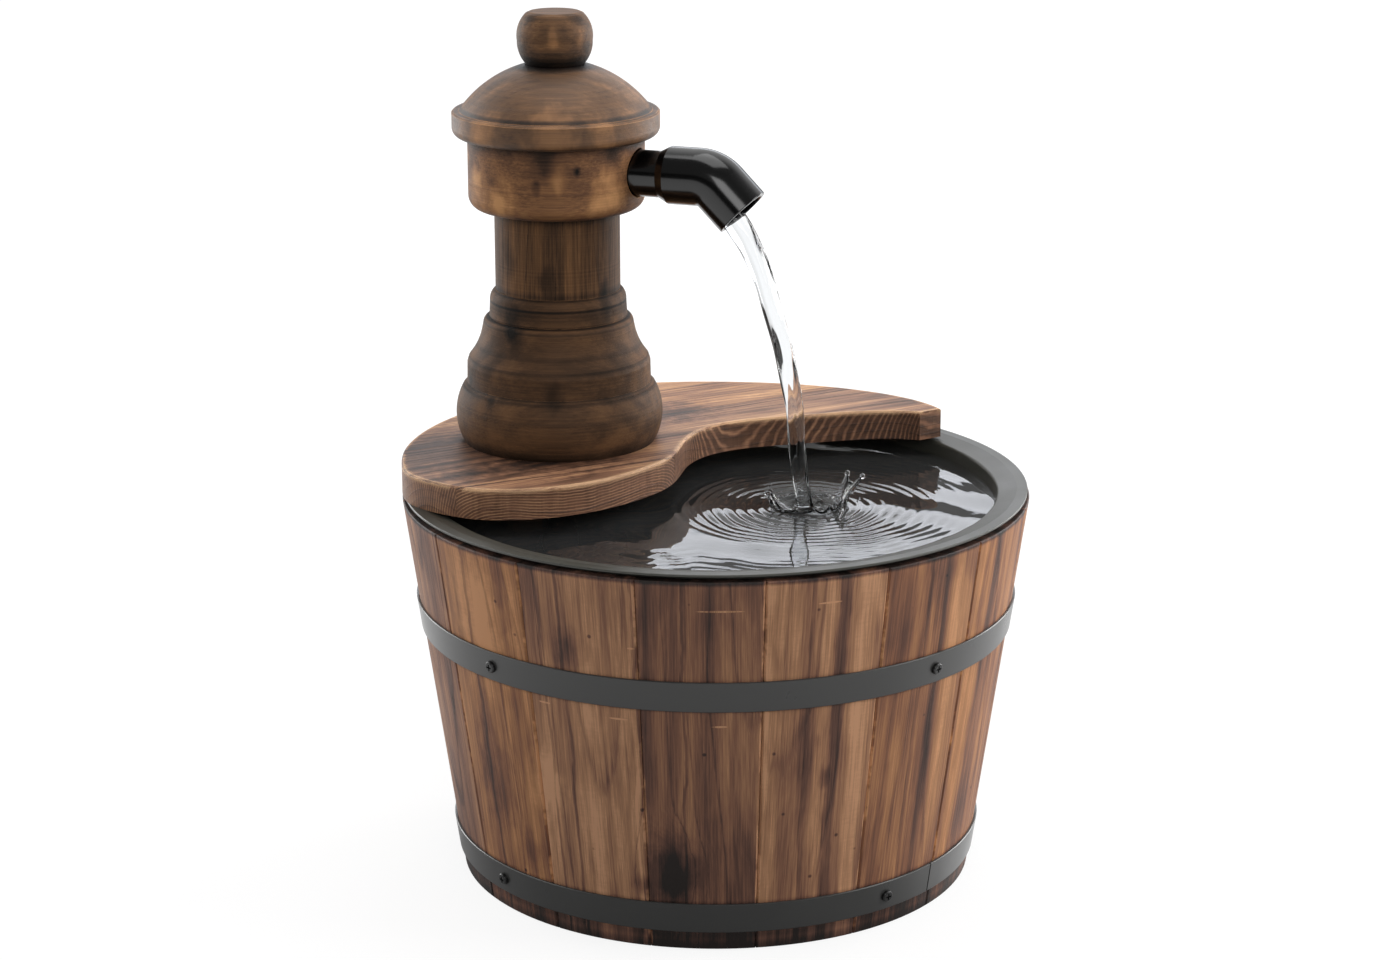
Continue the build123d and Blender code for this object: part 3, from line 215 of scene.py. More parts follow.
def timber(name, grain, browns, shades, ring_mm=6, rings=0.25, strips=0.16, fibres=0.10, scorch=0.3,
           knots=(), clouds=(), cloud_darkness=0.75, brushed=(), stretch=(1, 1, 0.6), rows=(), pith=(14, 55),
           marks=None, roughness=0.62, sheen=0.22):
    """Scorched fir. browns runs from worn to charred wood, and shades says how dark each numbered piece is;
    rings, strips, fibres and scorch say how much each of them darkens it; clouds are sooty smudges, and on the
    board also painted shade; brushed are patches that the brush took back to pale wood, and rows are heights
    with a soft dark line, painted shade at the tower's steps and joins and partly at the staves' foot."""
    material, tree = new_material(name)
    across, along, depth, number = grain(tree)

    # Growth rings: circles round a pith that lies behind the face and wanders along the piece
    chance = add(tree, "TexWhiteNoise", {"W": number}, noise_dimensions="1D").outputs["Color"]
    luck = add(tree, "SeparateXYZ", [chance]).outputs
    slow = measured(tree, (across, 50), (along, 181.8), (number, 1))
    sway = add(tree, "TexNoise", {"Vector": slow, "Scale": 1, "Detail": 2})
    sway_mm = add(tree, "Math MULTIPLY_ADD", [sway, PITH_SWAY, -0.5 * PITH_SWAY])
    pith_side = add(tree, "Math MULTIPLY_ADD", [luck["X"], PITH_ASIDE, -0.5 * PITH_ASIDE])
    shifted = add(tree, "Math ADD", [across, pith_side])
    ring_across = add(tree, "Math ADD", [shifted, sway_mm])
    pith_deep = add(tree, "Math MULTIPLY_ADD", [luck["Y"], pith[1] - pith[0], pith[0]])
    tilt = add(tree, "Math MULTIPLY_ADD", [luck["Z"], PITH_TILT, -0.5 * PITH_TILT])
    tilted = add(tree, "Math MULTIPLY_ADD", [along, tilt, pith_deep])
    ring_deep = add(tree, "Math ADD", [depth, tilted])
    from_pith = add(tree, "CombineXYZ", [ring_across, ring_deep, 0])
    ring_radius = add(tree, "VectorMath LENGTH", [from_pith]).outputs["Value"]
    ring_count = add(tree, "Math DIVIDE", [ring_radius, ring_mm])
    if knots:
        near = nearness(tree, knots, stretch)
        bulge = add(tree, "MapRange", [near, 0.2, 3.2, 2.2, 0], interpolation_type="SMOOTHERSTEP")
        ring_count = add(tree, "Math ADD", [ring_count, bulge])

    # Fibres: streaks half a millimetre wide and some centimetres long
    thread = measured(tree, (across, 1), (along, 40), (depth, 1))
    fibre = add(tree, "TexNoise", {"Vector": thread, "W": number, "Scale": 1, "Detail": 4,
                                   "Roughness": 0.7}, noise_dimensions="4D")
    jitter = add(tree, "Math MULTIPLY", [fibre, RING_RUFFLE])
    ring_count = add(tree, "Math ADD", [ring_count, jitter])
    ring_share = add(tree, "Math FRACT", [ring_count])
    late = add(tree, "ValToRGB", [ring_share], stops=LATEWOOD)
    ring_number = add(tree, "Math ADD", [add(tree, "Math FLOOR", [ring_count]), number])
    ring_luck = add(tree, "TexWhiteNoise", {"W": ring_number}, noise_dimensions="1D").outputs["Value"]
    ring_force = add(tree, "Math MULTIPLY", [ring_luck, ring_luck])
    ring_force = add(tree, "Math MULTIPLY_ADD", [ring_force, 1.35, 0.2])
    late = add(tree, "Math MULTIPLY", [late, ring_force])
    between_rings = add(tree, "Math MULTIPLY", [ring_count, 2 * math.pi * FAINT_LINES])
    faint = add(tree, "Math SINE", [between_rings])
    faint = add(tree, "Math MULTIPLY_ADD", [faint, 0.11, late])

    # Strips: bands some millimetres wide that took more or less of the flame, with soft and hard edges
    strip_place = measured(tree, (across, 7.692), (along, 222.2), (depth, 9.09))
    strip = add(tree, "TexNoise", {"Vector": strip_place, "W": number, "Scale": 1, "Detail": 3,
                                   "Roughness": 0.48}, noise_dimensions="4D")
    smoke_place = measured(tree, (across, 28.57), (along, 76.92), (depth, 28.57))
    smoke = add(tree, "TexNoise", {"Vector": smoke_place, "W": number, "Scale": 1, "Detail": 3,
                                   "Distortion": 0.5}, noise_dimensions="4D")
    smudge = add(tree, "MapRange", [smoke, 0.45, 0.75, -0.15, 1])

    if len(shades) > 1:
        steps = [(place / len(shades), shade) for place, shade in enumerate(shades)]
        share = add(tree, "Math MULTIPLY_ADD", [number, 1 / len(shades), 0.5 / len(shades)])
        dark = add(tree, "ValToRGB", [share], stops=steps)
        dark.color_ramp.interpolation = "CONSTANT"
    else:
        dark = shades[0]
    strip_force, fibre_force = (add(tree, "MapRange", [noise, *EVEN]) for noise in (strip, fibre))
    for layer, amount in ((faint, rings), (strip_force, strips), (fibre_force, fibres), (smudge, scorch)):
        dark = add(tree, "Math MULTIPLY_ADD", [layer, amount, dark])
    height = add(tree, "SeparateXYZ", [add(tree, "TexCoord").outputs["Object"]]).outputs["Z"]
    # Rows: soft, patchy dark lines at given heights; at the tower's steps and joins, and partly at the staves'
    # foot, they are painted shade
    for row, half, strength in rows:
        away = away_from(tree, height, row * MM)
        black = add(tree, "MapRange", [away, 0, half * MM, strength, 0], **SMOOTH)
        patchy = add(tree, "Math MULTIPLY_ADD", [smoke, 1.2, 0.4])
        dark = add(tree, "Math MULTIPLY_ADD", [black, patchy, dark])
    if knots:
        for start, end, strength in KNOT_LAYERS:
            black = add(tree, "MapRange", [near, start, end, strength, 0], **SMOOTH)
            dark = add(tree, "Math ADD", [black, dark])
    # Clouds: sooty smudges on most pieces; on the board, two of them are painted shade, at its left and round
    # the tower's foot
    if clouds:
        near = nearness(tree, clouds, stretch, 1.3)
        black = add(tree, "MapRange", [near, 0.1, 1.25, cloud_darkness, 0], **SMOOTH)
        dark = add(tree, "Math MULTIPLY_ADD", [black, smoke, dark])
    if brushed:
        near = nearness(tree, brushed, stretch, 1.5)
        pale = add(tree, "MapRange", [near, 0.1, 1.4, -0.34, 0], **SMOOTH)
        streaky = add(tree, "Math MULTIPLY", [fibre, 1.6])
        dark = add(tree, "Math MULTIPLY_ADD", [pale, streaky, dark])
    if marks:
        dark = marks(tree, dark, across, along, depth, number, fibre)

    colour = add(tree, "ValToRGB", [dark], stops=browns)
    paler = add(tree, "Math MULTIPLY_ADD", [luck["Z"], 0.14, 0.90])
    colour = add(tree, "HueSaturation", {"Saturation": paler, "Color": colour})
    relief = add(tree, "Math MULTIPLY_ADD", [late, 0.7, fibre])
    bump = add(tree, "Bump", {"Strength": 0.6, "Distance": 0.3 * MM, "Height": relief})
    rough = add(tree, "Math MULTIPLY_ADD", [fibre, 0.2, roughness - 0.1])
    finish_material(tree, add(tree, "BsdfPrincipled", {
        "Base Color": colour, "Roughness": rough, "Normal": bump, "IOR": 1.45, "Specular IOR Level": sheen,
    }))
    return material


def worn_edges_and_painted_highlight(tree, dark, reach_mm, amount, patch_mm):
    """Lightens patches of upper edges, which are where a rounded normal turns away from the true one: wood
    worn pale, and a painted highlight where light from above catches them.
    """
    rounded = add(tree, "Bevel", {"Radius": reach_mm * MM}, samples=6)
    true = add(tree, "NewGeometry").outputs["Normal"]
    turned = add(tree, "VectorMath DOT_PRODUCT", [rounded, true]).outputs["Value"]
    edge = add(tree, "MapRange", [turned, 0.985, 0.93, 0, 1])
    # Only edges that face up lighten, where light from above catches them: a painted highlight over the wear
    upward = add(tree, "SeparateXYZ", [rounded]).outputs["Z"]
    upper_edge = add(tree, "MapRange", [upward, 0.1, 0.3, 0, 1])
    edge = add(tree, "Math MULTIPLY", [edge, upper_edge])
    place = add(tree, "TexCoord").outputs["Object"]
    place = add(tree, "VectorMath MULTIPLY", [place, [1 / (size * MM) for size in patch_mm]])
    patch = add(tree, "TexNoise", {"Vector": place, "Scale": 1, "Detail": 4, "Roughness": 0.65})
    worn = add(tree, "MapRange", [patch, 0.32, 0.5, 0, amount])
    lift = add(tree, "Math MULTIPLY", [edge, worn])
    return add(tree, "Math SUBTRACT", [dark, lift])


def stave_marks(tree, dark, across, along, depth, number, fibre):
    """Bands of pale and charred wood, worn edges beside the seams, a painted shadow along the top edge under
    the liner's rim, nicks and pin knots.
    """
    place = add(tree, "TexCoord").outputs["Object"]
    parts = add(tree, "SeparateXYZ", [place]).outputs
    turn = add(tree, "Math ARCTAN2", [parts["Y"], parts["X"]])
    degrees = add(tree, "Math MULTIPLY", [turn, 180 / math.pi])
    weave_place = measured(tree, (number, 1), (along, 45.45))
    weave = add(tree, "TexNoise", {"Vector": weave_place, "Scale": 1, "Detail": 3})
    wandering = add(tree, "Math MULTIPLY_ADD", [weave, BAND_SWAY, -0.5 * BAND_SWAY])
    frayed = add(tree, "Math MULTIPLY_ADD", [fibre, BAND_FRAY, wandering])
    degrees = add(tree, "Math ADD", [degrees, frayed])
    for middle, half, strength in STAVE_BANDS:
        away = away_from(tree, degrees, middle + 0.5 * BAND_FRAY)
        band = add(tree, "MapRange", [away, half * 0.55, half * 1.35, strength, 0], **SMOOTH)
        dark = add(tree, "Math ADD", [dark, band])

    # Saw chatter: ridges across the palest wood, a millimetre and a half apart
    ridge_place = measured(tree, (across, 8.333), (along, 1.4286), (number, 1))
    ridge = add(tree, "TexNoise", {"Vector": ridge_place, "Scale": 1, "Detail": 2})
    ridge = add(tree, "MapRange", [ridge, *EVEN])
    pale = add(tree, "MapRange", [dark, 0.08, 0.2, 0.025, 0])
    dark = add(tree, "Math MULTIPLY_ADD", [ridge, pale, dark])

    # Edges: a thin line beside each seam, worn pale in places, and a painted shadow along the top, under the
    # liner's rim
    half_width = add(tree, "Math MULTIPLY_ADD", [along, BARREL_TAPER, BARREL_FOOT_RADIUS])
    half_width = add(tree, "Math MULTIPLY", [half_width, math.pi / STAVE_COUNT])
    off_middle = add(tree, "Math ABSOLUTE", [across])
    from_seam = add(tree, "Math SUBTRACT", [half_width, off_middle])
    from_top = add(tree, "Math SUBTRACT", [BARREL_HEIGHT, along])
    wear_place = measured(tree, (number, 1), (along, 28.57), (across, 20))
    wear = add(tree, "TexNoise", {"Vector": wear_place, "Scale": 1, "Detail": 4, "Roughness": 0.65})
    worn = add(tree, "MapRange", [wear, 0.49, 0.63, -0.07, 0.5])
    rim = add(tree, "MapRange", [from_seam, 0.8, 1.7, 1, 0], **SMOOTH)
    edge = add(tree, "Math MULTIPLY", [rim, worn])
    dark = add(tree, "Math SUBTRACT", [dark, edge])
    painted_rim_shadow = add(tree, "MapRange", [from_top, 0.4, 2.8, 0.5, 0], **SMOOTH)
    dark = add(tree, "Math ADD", [dark, painted_rim_shadow])

    for turn, height, half_length in STAVE_NICKS:
        turn = math.radians(turn)
        radius = BARREL_FOOT_RADIUS + BARREL_TAPER * height
        middle = [radius * math.cos(turn) * MM, radius * math.sin(turn) * MM, height * MM]
        apart = add(tree, "VectorMath SUBTRACT", [place, middle])
        squeeze = (1 / half_length, 1 / half_length, 1 / NICK_HALF_HEIGHT)
        squeezed = add(tree, "VectorMath MULTIPLY", [apart, squeeze])
        far = add(tree, "VectorMath LENGTH", [squeezed]).outputs["Value"]
        inside = add(tree, "MapRange", [far, 0.6 * MM, 1.1 * MM, 1, 0])
        broken = add(tree, "Math MULTIPLY", [inside, fibre])
        nick = add(tree, "MapRange", [broken, 0.35, 0.6, 0, 0.6])
        dark = add(tree, "Math SUBTRACT", [dark, nick])

    pins = add(tree, "TexVoronoi", {"Vector": place, "Scale": 1 / (PIN_KNOTS_APART * MM), "Randomness": 1})
    pin = add(tree, "MapRange", [pins.outputs["Distance"], 0.035, 0.07, 0.4, 0])
    return add(tree, "Math ADD", [dark, pin])


def board_marks(tree, dark, across, along, depth, number, fibre):
    """Sawn sides that show the ends of the growth rings as thin pale lines, with painted shade that darkens
    them towards the camera's right, and upper edges worn pale with a painted highlight.
    """
    normal = add(tree, "SeparateXYZ", [add(tree, "TexCoord").outputs["Normal"]]).outputs["Z"]
    upright = add(tree, "Math ABSOLUTE", [normal])
    side = add(tree, "MapRange", [upright, 0.3, 0.6, 1, 0])
    beside = add(tree, "Math MULTIPLY_ADD", [number, 60, 10])
    beside = add(tree, "Math ADD", [across, beside])
    below = add(tree, "Math ADD", [depth, 27])
    from_heart = add(tree, "CombineXYZ", [beside, below])
    reach = add(tree, "VectorMath LENGTH", [from_heart]).outputs["Value"]
    in_plank = add(tree, "CombineXYZ", [across, along, depth])
    ragged = add(tree, "TexNoise", {"Vector": in_plank, "Scale": 1 / 11.11, "Detail": 3})
    lines = add(tree, "Math MULTIPLY", [reach, 1 / END_RING])
    lines = add(tree, "Math MULTIPLY_ADD", [ragged, 1.1, lines])
    turns = add(tree, "Math MULTIPLY", [lines, 2 * math.pi])
    line = add(tree, "Math SINE", [turns])
    thin = add(tree, "MapRange", [line, -0.1, 1, 0.20, -0.40])
    strong = add(tree, "MapRange", [ragged, 0.35, 0.65, 0.45, 0.85])
    place = add(tree, "TexCoord").outputs["Object"]
    per_way = [1 / (size * MM) for size in (3.03, 3.03, 62.5)]
    saw_place = add(tree, "VectorMath MULTIPLY", [place, per_way])
    saw = add(tree, "TexNoise", {"Vector": saw_place, "Scale": 1, "Detail": 3, "Roughness": 0.65})
    saw = add(tree, "MapRange", [saw, *EVEN])
    # Painted shade: the sawn sides go from lighter at the left to darker at the right, as the camera sees them
    rightward = add(tree, "VectorMath DOT_PRODUCT", [place, VIEW_RIGHT]).outputs["Value"]
    shade = add(tree, "MapRange", [rightward, -0.15, 0.06, 0.44, 0.72])
    shade = add(tree, "Math MULTIPLY_ADD", [saw, 0.06, shade])
    shade = add(tree, "Math MULTIPLY_ADD", [thin, strong, shade])
    change = add(tree, "Math SUBTRACT", [shade, dark])
    share = add(tree, "Math MULTIPLY", [side, 0.72])
    dark = add(tree, "Math MULTIPLY_ADD", [change, share, dark])
    worn = worn_edges_and_painted_highlight(tree, dark, 4.2, 0.85, (23.81, 23.81, 8.333))
    for seam in BOARD_SEAMS:
        at_seam = add(tree, "MapRange", [away_from(tree, across, seam), 2.4, 4, 1, 0])
        lifted = add(tree, "Math SUBTRACT", [dark, worn])
        worn = add(tree, "Math MULTIPLY_ADD", [lifted, at_seam, worn])
    return worn


def turned_marks(tree, dark, across, along, depth, number, fibre):
    """Fine rings that the lathe's gouge left, and upper edges a little paler: worn, and a painted highlight.
    """
    height = add(tree, "SeparateXYZ", [add(tree, "TexCoord").outputs["Object"]]).outputs["Z"]
    level = add(tree, "CombineXYZ", {2: add(tree, "Math MULTIPLY", [height, 1 / (GOUGE_STEP * MM)])})
    gouge = add(tree, "TexNoise", {"Vector": level, "Scale": 1, "Detail": 2})
    gouge = add(tree, "MapRange", [gouge, *EVEN])
    dark = add(tree, "Math MULTIPLY_ADD", [gouge, 0.035, dark])
    return worn_edges_and_painted_highlight(tree, dark, 0.9, 0.46, (16.667, 16.667, 6.25))


# Nicks: turn round the barrel in degrees, height and half length
STAVE_NICKS = ((-103.5, 134, 5), (-88.2, 131.6, 7), (-69.3, 130, 6), (-69.3, 194.3, 17),
               (-50, 196, 9), (-85, 172, 3))
# Bands: turn and half width in degrees, and strength, which is above nothing for charred and below for pale
STAVE_BANDS = ((-59.6, 2, -0.20), (-52.9, 0.6, 0.18), (-50.3, 1.1, -0.10), (-47.3, 1.1, 0.27),
               (-42.4, 1.9, -0.22), (-36.2, 2.2, 0.13), (-80, 3.6, 0.13), (-75.9, 0.3, 0.25),
               (-93.6, 1.6, -0.16), (-85.2, 0.4, -0.2), (-112, 1.4, 0.16), (-29, 0.5, 0.18),
               (-8, 1.5, 0.2), (-22, 1.6, -0.16), (-98.5, 0.35, 0.25), (-103, 0.3, 0.25),
               (-88.5, 1, -0.1), (-25, 0.6, 0.2), (-66, 2, 0.05), (-121, 0.4, 0.25))
# Brushed patches, knots, sooty clouds and, on the board, clouds of painted shade: x, y, z and reach
STAVE_BRUSHED = ((-77, -145, 170, 22), (-40, -147, 85, 13))
STAVE_KNOTS = ((28.3, -144, 43, 9), (-3, 150.5, 72, 8), (-118, 92, 120, 7),
               (128, 76, 64, 9))
STAVE_CLOUDS = ((-19.2, -162.9, 167, 9), (33, -143, 45, 11), (-54.3, -135.7, 42, 9),
                (12, -146, 36, 5), (96, -118, 120, 5), (101, -116, 98, 4.5),
                (-73, -134, 80, 19))
# On the board, the cloud at its left and the one round the tower's foot are painted shade; the one behind the
# tower is a sooty smudge
BOARD_SOOT_AND_PAINTED_SHADE = ((-150, -62, 230, 70), (-50, 70, 230, 26), (-88, -30, 230, 50))
TOWER_KNOTS = ((-112.4, -51.9, 264.7, 2.6), (-150, 20, 262, 6), (-52, 30, 300, 5),
               (-103.5, -40, 297, 2.4))
TOWER_CLOUDS = ((-103.9, -34.9, 305.1, 7), (-100, -42.5, 294, 7), (-60, -14, 309, 6),
                (-112.4, -51.9, 262, 5), (-75, -50, 266, 7), (-128, -30, 268, 6))
COLUMN_CLOUDS = ((-108, -29.7, 334, 7), (-59.7, -12, 318, 4), (-84, -33, 326, 6))
HEAD_KNOTS = ((-63.5, -38.8, 386.9, 1.1),)
HEAD_CLOUDS = ((-78.5, -46, 400, 9), (-83.5, -47.1, 378.5, 2.6), (-50, -22, 397, 7),
               (-118, 38, 375, 12))
LEDGE_BRUSHED = ((-72.3, -52.6, 407, 15), (-112, -52, 407, 10), (-50, -37, 408, 9))
HEAD_BRUSHED = ((-49.9, -23.6, 374, 9), (-54, -30, 369, 8), (-121.2, -37.4, 372.1, 9),
                (-104.9, -45.9, 366, 9), (-72, -43.5, 384, 5))
KNOB_BRUSHED = ((-84.6, -18.8, 453.5, 4), (-74, -9, 452, 3))
# Dark rows: height, half width and strength. The staves' rows at the foot make them darker towards the bottom,
# partly as painted shade; most of the tower's rows lie at steps, grooves and joins of its turned pieces and
# are painted shade.
STAVE_ROWS = ((152.5, 5, 0.16), (139.5, 3, 0.16), (26, 3.5, 0.2), (9, 4, 0.3), (0, 13, 0.62))
BASE_ROWS = ((231, 8, 0.24), (261, 1.3, 0.15), (263.2, 1.1, 0.18), (277.1, 1.2, 0.16), (284, 2.6, 0.10),
             (296.9, 1.2, 0.12), (299.7, 1.1, 0.42), (308.6, 1.2, 0.30), (306, 7, 0.10), (314.2, 1, 0.2))
CAP_ROWS = ((413.3, 1.8, 0.36), (399.2, 1.6, 0.2), (437, 2.5, 0.5))
# How dark each stave is, and the browns from worn to charred wood
STAVE_SHADES = (0.29, 0.37, 0.27, 0.35, 0.40, 0.29, 0.37, 0.27, 0.37, 0.35, 0.20, 0.25, 0.38, 0.26, 0.29, 0.32)
BARREL_BROWNS = ((0, "#d79d70"), (0.18, "#b68259"), (0.38, "#906248"), (0.58, "#684638"),
                 (0.78, "#432d25"), (1, "#1c130f"))
BOARD_BROWNS = ((0, "#dfb488"), (0.2, "#b98a62"), (0.42, "#8a6148"), (0.62, "#624330"), (0.8, "#3e291d"),
                (1, "#1a120e"))
TOWER_BROWNS = ((0, "#c79160"), (0.2, "#9f724a"), (0.42, "#705035"), (0.62, "#4b3626"), (0.8, "#2e2117"),
                (1, "#120d09"))
HEAD_BROWNS = ((0, "#cd9763"), (0.2, "#a3744c"), (0.42, "#725039"), (0.62, "#4b3629"), (0.8, "#2e2119"),
               (1, "#120c08"))

# Fir staves, scorched and brushed: streaks from tan to black along the grain, thin worn lines at the seams,
# a painted shadow along the top under the liner's rim, and darker towards the foot, partly as painted shade
stave_wood = timber("fir_staves_scorched_and_brushed", stave_grain, BARREL_BROWNS, STAVE_SHADES, ring_mm=6.5,
                    rings=0.17, strips=0.16, fibres=0.14, scorch=0.23, knots=STAVE_KNOTS, clouds=STAVE_CLOUDS,
                    cloud_darkness=0.5, brushed=STAVE_BRUSHED, rows=STAVE_ROWS, marks=stave_marks, roughness=0.58,
                    sheen=0.36)
# Fir floor, planed and hardly scorched: an even brown with soft lines
floor_wood = timber("fir_floor_planed", straight_grain((0, 1, 0), (1, 0, 0), UP), BARREL_BROWNS, (0.3,),
                    rings=0.2, scorch=0.1)
# Fir board, scorched and brushed on top and sawn round: dark flame figure above, thin pale lines at its sides,
# and painted shade at its left, round the tower's foot and towards the right of its sides
board_wood = timber("fir_board_scorched_and_sawn", board_grain, BOARD_BROWNS, (0.32, 0.34, 0.30), ring_mm=4.5,
                    rings=0.42, strips=0.17, fibres=0.16, scorch=0.24, pith=(24, 50), marks=board_marks,
                    clouds=BOARD_SOOT_AND_PAINTED_SHADE, cloud_darkness=0.8, stretch=(1, 1, 1), roughness=0.52, sheen=0.45)
# Fir battens, planed and scorched dark: a dull even brown
batten_wood = timber("fir_battens_planed", board_grain, BOARD_BROWNS, (0.5, 0.5, 0.5), rings=0.2, scorch=0.2)
level_grain = straight_grain(VIEW_AWAY, VIEW_RIGHT, UP)
upright_grain = straight_grain(VIEW_RIGHT, UP, VIEW_AWAY)
# Fir base, turned and scorched all over: nearly even dark brown, matt, with fine rings of the gouge
base_wood = timber("fir_base_turned_and_scorched", level_grain, TOWER_BROWNS, (0.54,), ring_mm=11,
                   rings=0.06, strips=0.08, fibres=0.04, scorch=0.11, knots=TOWER_KNOTS, clouds=TOWER_CLOUDS,
                   cloud_darkness=0.42, stretch=(1, 1, 0.75), rows=BASE_ROWS, marks=turned_marks, roughness=0.58,
                   sheen=0.13)
# Fir column, turned from wood that stands upright: fine dark lines from foot to top, matt, and painted shade
# under the head and at its foot
column_wood = timber("fir_column_turned", upright_grain, TOWER_BROWNS, (0.52,), ring_mm=2.2, rings=0.14,
                     strips=0.08, fibres=0.13, scorch=0.14, clouds=COLUMN_CLOUDS, cloud_darkness=0.5,
                     rows=((359, 5, 0.22), (316, 3, 0.16)), marks=turned_marks, roughness=0.58,
                     sheen=0.13)
# Fir head, turned and scorched lightly: warm brown with patches brushed pale, and painted shade under the cap
# and at its lower edge
head_wood = timber("fir_head_turned", level_grain, HEAD_BROWNS, (0.34,), ring_mm=6, rings=0.10, strips=0.10,
                   fibres=0.09, scorch=0.13, knots=HEAD_KNOTS, clouds=HEAD_CLOUDS, marks=turned_marks,
                   cloud_darkness=0.5, brushed=HEAD_BRUSHED, rows=((399, 8, 0.30), (360, 3, 0.16)),
                   roughness=0.55, sheen=0.15)
# Fir cap, turned and oiled more: brown with painted shade in its grooves and under the knob, and a soft shine
# on the dome
cap_wood = timber("fir_cap_turned", level_grain, TOWER_BROWNS, (0.46,), ring_mm=9, rings=0.09, strips=0.11,
                  fibres=0.05, scorch=0.12, brushed=LEDGE_BRUSHED, rows=CAP_ROWS, marks=turned_marks,
                  roughness=0.5, sheen=0.45)
# Fir knob, turned: dark brown with a painted shadow at its neck where it sits on the cap, rubbed paler where a
# hand takes it
knob_wood = timber("fir_knob_turned", level_grain, TOWER_BROWNS, (0.51,), ring_mm=9, rings=0.14, strips=0.17,
                   fibres=0.06, scorch=0.16, brushed=KNOB_BRUSHED, rows=((437.5, 7, 0.5),),
                   marks=turned_marks, roughness=0.55)
# Beech dowels, turned and left bare: pale, close and even
dowel_wood = timber("beech_dowels", upright_grain, BARREL_BROWNS, (0.12,), ring_mm=2, rings=0.08, scorch=0)


def plain(name, code, roughness, grain_mm, relief_mm, shade=0.2, **values):
    """A moulded, painted, ground or sintered surface: one colour that varies a little, with a fine relief."""
    material, tree = new_material(name)
    place = add(tree, "TexCoord").outputs["Object"]
    fine = add(tree, "TexNoise", {"Vector": place, "Scale": 1 / (grain_mm * MM), "Detail": 2})
    wide = add(tree, "TexNoise", {"Vector": place, "Scale": 1 / (35 * MM), "Detail": 3})
    base = linear(code)
    low = [c * (1 - shade) for c in base[:3]] + [1]
    high = [min(c * (1 + shade), 1) for c in base[:3]] + [1]
    colour = add(tree, "Mix", {0: wide, 6: low, 7: high}, data_type="RGBA").outputs[2]
    rough = add(tree, "MapRange", [wide, 0.3, 0.7, roughness * 0.88, roughness * 1.12])
    bump = add(tree, "Bump", {"Strength": 0.4, "Distance": relief_mm * MM, "Height": fine})
    takes = {"Base Color": colour, "Roughness": rough, "Normal": bump}
    takes.update(values)
    finish_material(tree, add(tree, "BsdfPrincipled", takes))
    return material


# Rolled steel, sprayed with dark grey enamel: satin, with the faint orange peel of the paint
hoop_enamel = plain("enamelled_steel_dark_grey", "#3a3a39", 0.30, 1.2, 0.03, shade=0.12, IOR=1.5)
# Steel screws, blackened in a bath: darker than the enamel, with a dull shine
screw_steel = plain("blackened_steel", "#0e0e0e", 0.32, 0.8, 0.03, IOR=1.5)
# Polyethylene, moulded: charcoal with a waxy sheen and the fine grain of the mould
liner_plastic = plain("moulded_polyethylene_charcoal", "#3c3c36", 0.4, 0.9, 0.04, shade=0.15, IOR=1.5)
# Hard PVC, moulded in a polished mould: black and glossy, with the slight waviness of a moulding
pipe_plastic = plain("moulded_pvc_black", "#040404", 0.17, 6, 0.02, shade=0.3, IOR=1.54)
# Soft PVC, extruded: black with a dull shine and shallow waves along the hose
hose_plastic = plain("extruded_soft_pvc_black", "#141414", 0.35, 2, 0.03, IOR=1.52)
# ABS, moulded in an eroded mould: matt black or grey with a fine grain
pump_plastic = plain("moulded_abs_black", "#17181a", 0.48, 0.6, 0.05, IOR=1.5)
dial_plastic = plain("moulded_abs_grey", "#3a3b3d", 0.45, 0.6, 0.05, IOR=1.5)
# Acetal, moulded: white and slightly waxy
impeller_plastic = plain("moulded_acetal_white", "#d8d8cf", 0.38, 0.6, 0.02, shade=0.05, IOR=1.48)
# Rubber, moulded: dull black without a clear highlight
seal_rubber = plain("moulded_rubber_black", "#101010", 0.6, 0.5, 0.04, IOR=1.52)
# Stainless steel, ground: bright metal with a narrow, slightly blurred highlight
shaft_steel = plain("ground_stainless_steel", "#b9bbbd", 0.25, 0.3, 0.01, shade=0.05, Metallic=1)
# Ferrite, pressed and sintered: dark grey, dull and finely pitted
magnet_ferrite = plain("sintered_ferrite", "#34353a", 0.5, 0.4, 0.05, IOR=1.5)


def water_material(name, roughness, cloudy):
    """Water: refraction and reflection with a tremble in its surface; cloudy says how much of it is haze."""
    material, tree = new_material(name)
    place = add(tree, "TexCoord").outputs["Object"]
    tremble = add(tree, "TexNoise", {"Vector": place, "Scale": 1 / (9 * MM), "Detail": 2})
    bump = add(tree, "Bump", {"Strength": 0.12, "Distance": 0.3 * MM, "Height": tremble})
    finish_material(tree, add(tree, "BsdfPrincipled", {
        "Base Color": linear("#f7f9fa"), "Roughness": roughness, "IOR": 1.333,
        "Transmission Weight": 1 - cloudy, "Normal": bump,
    }))
    return material


# Water that stands in the tub: a mirror that shows the liner through a faint haze
pool_water_look = water_material("pool_water_faintly_hazy", 0.012, 0.027)
# Water that falls: clear as glass
stream_water_look = water_material("clear_water_stream", 0, 0)

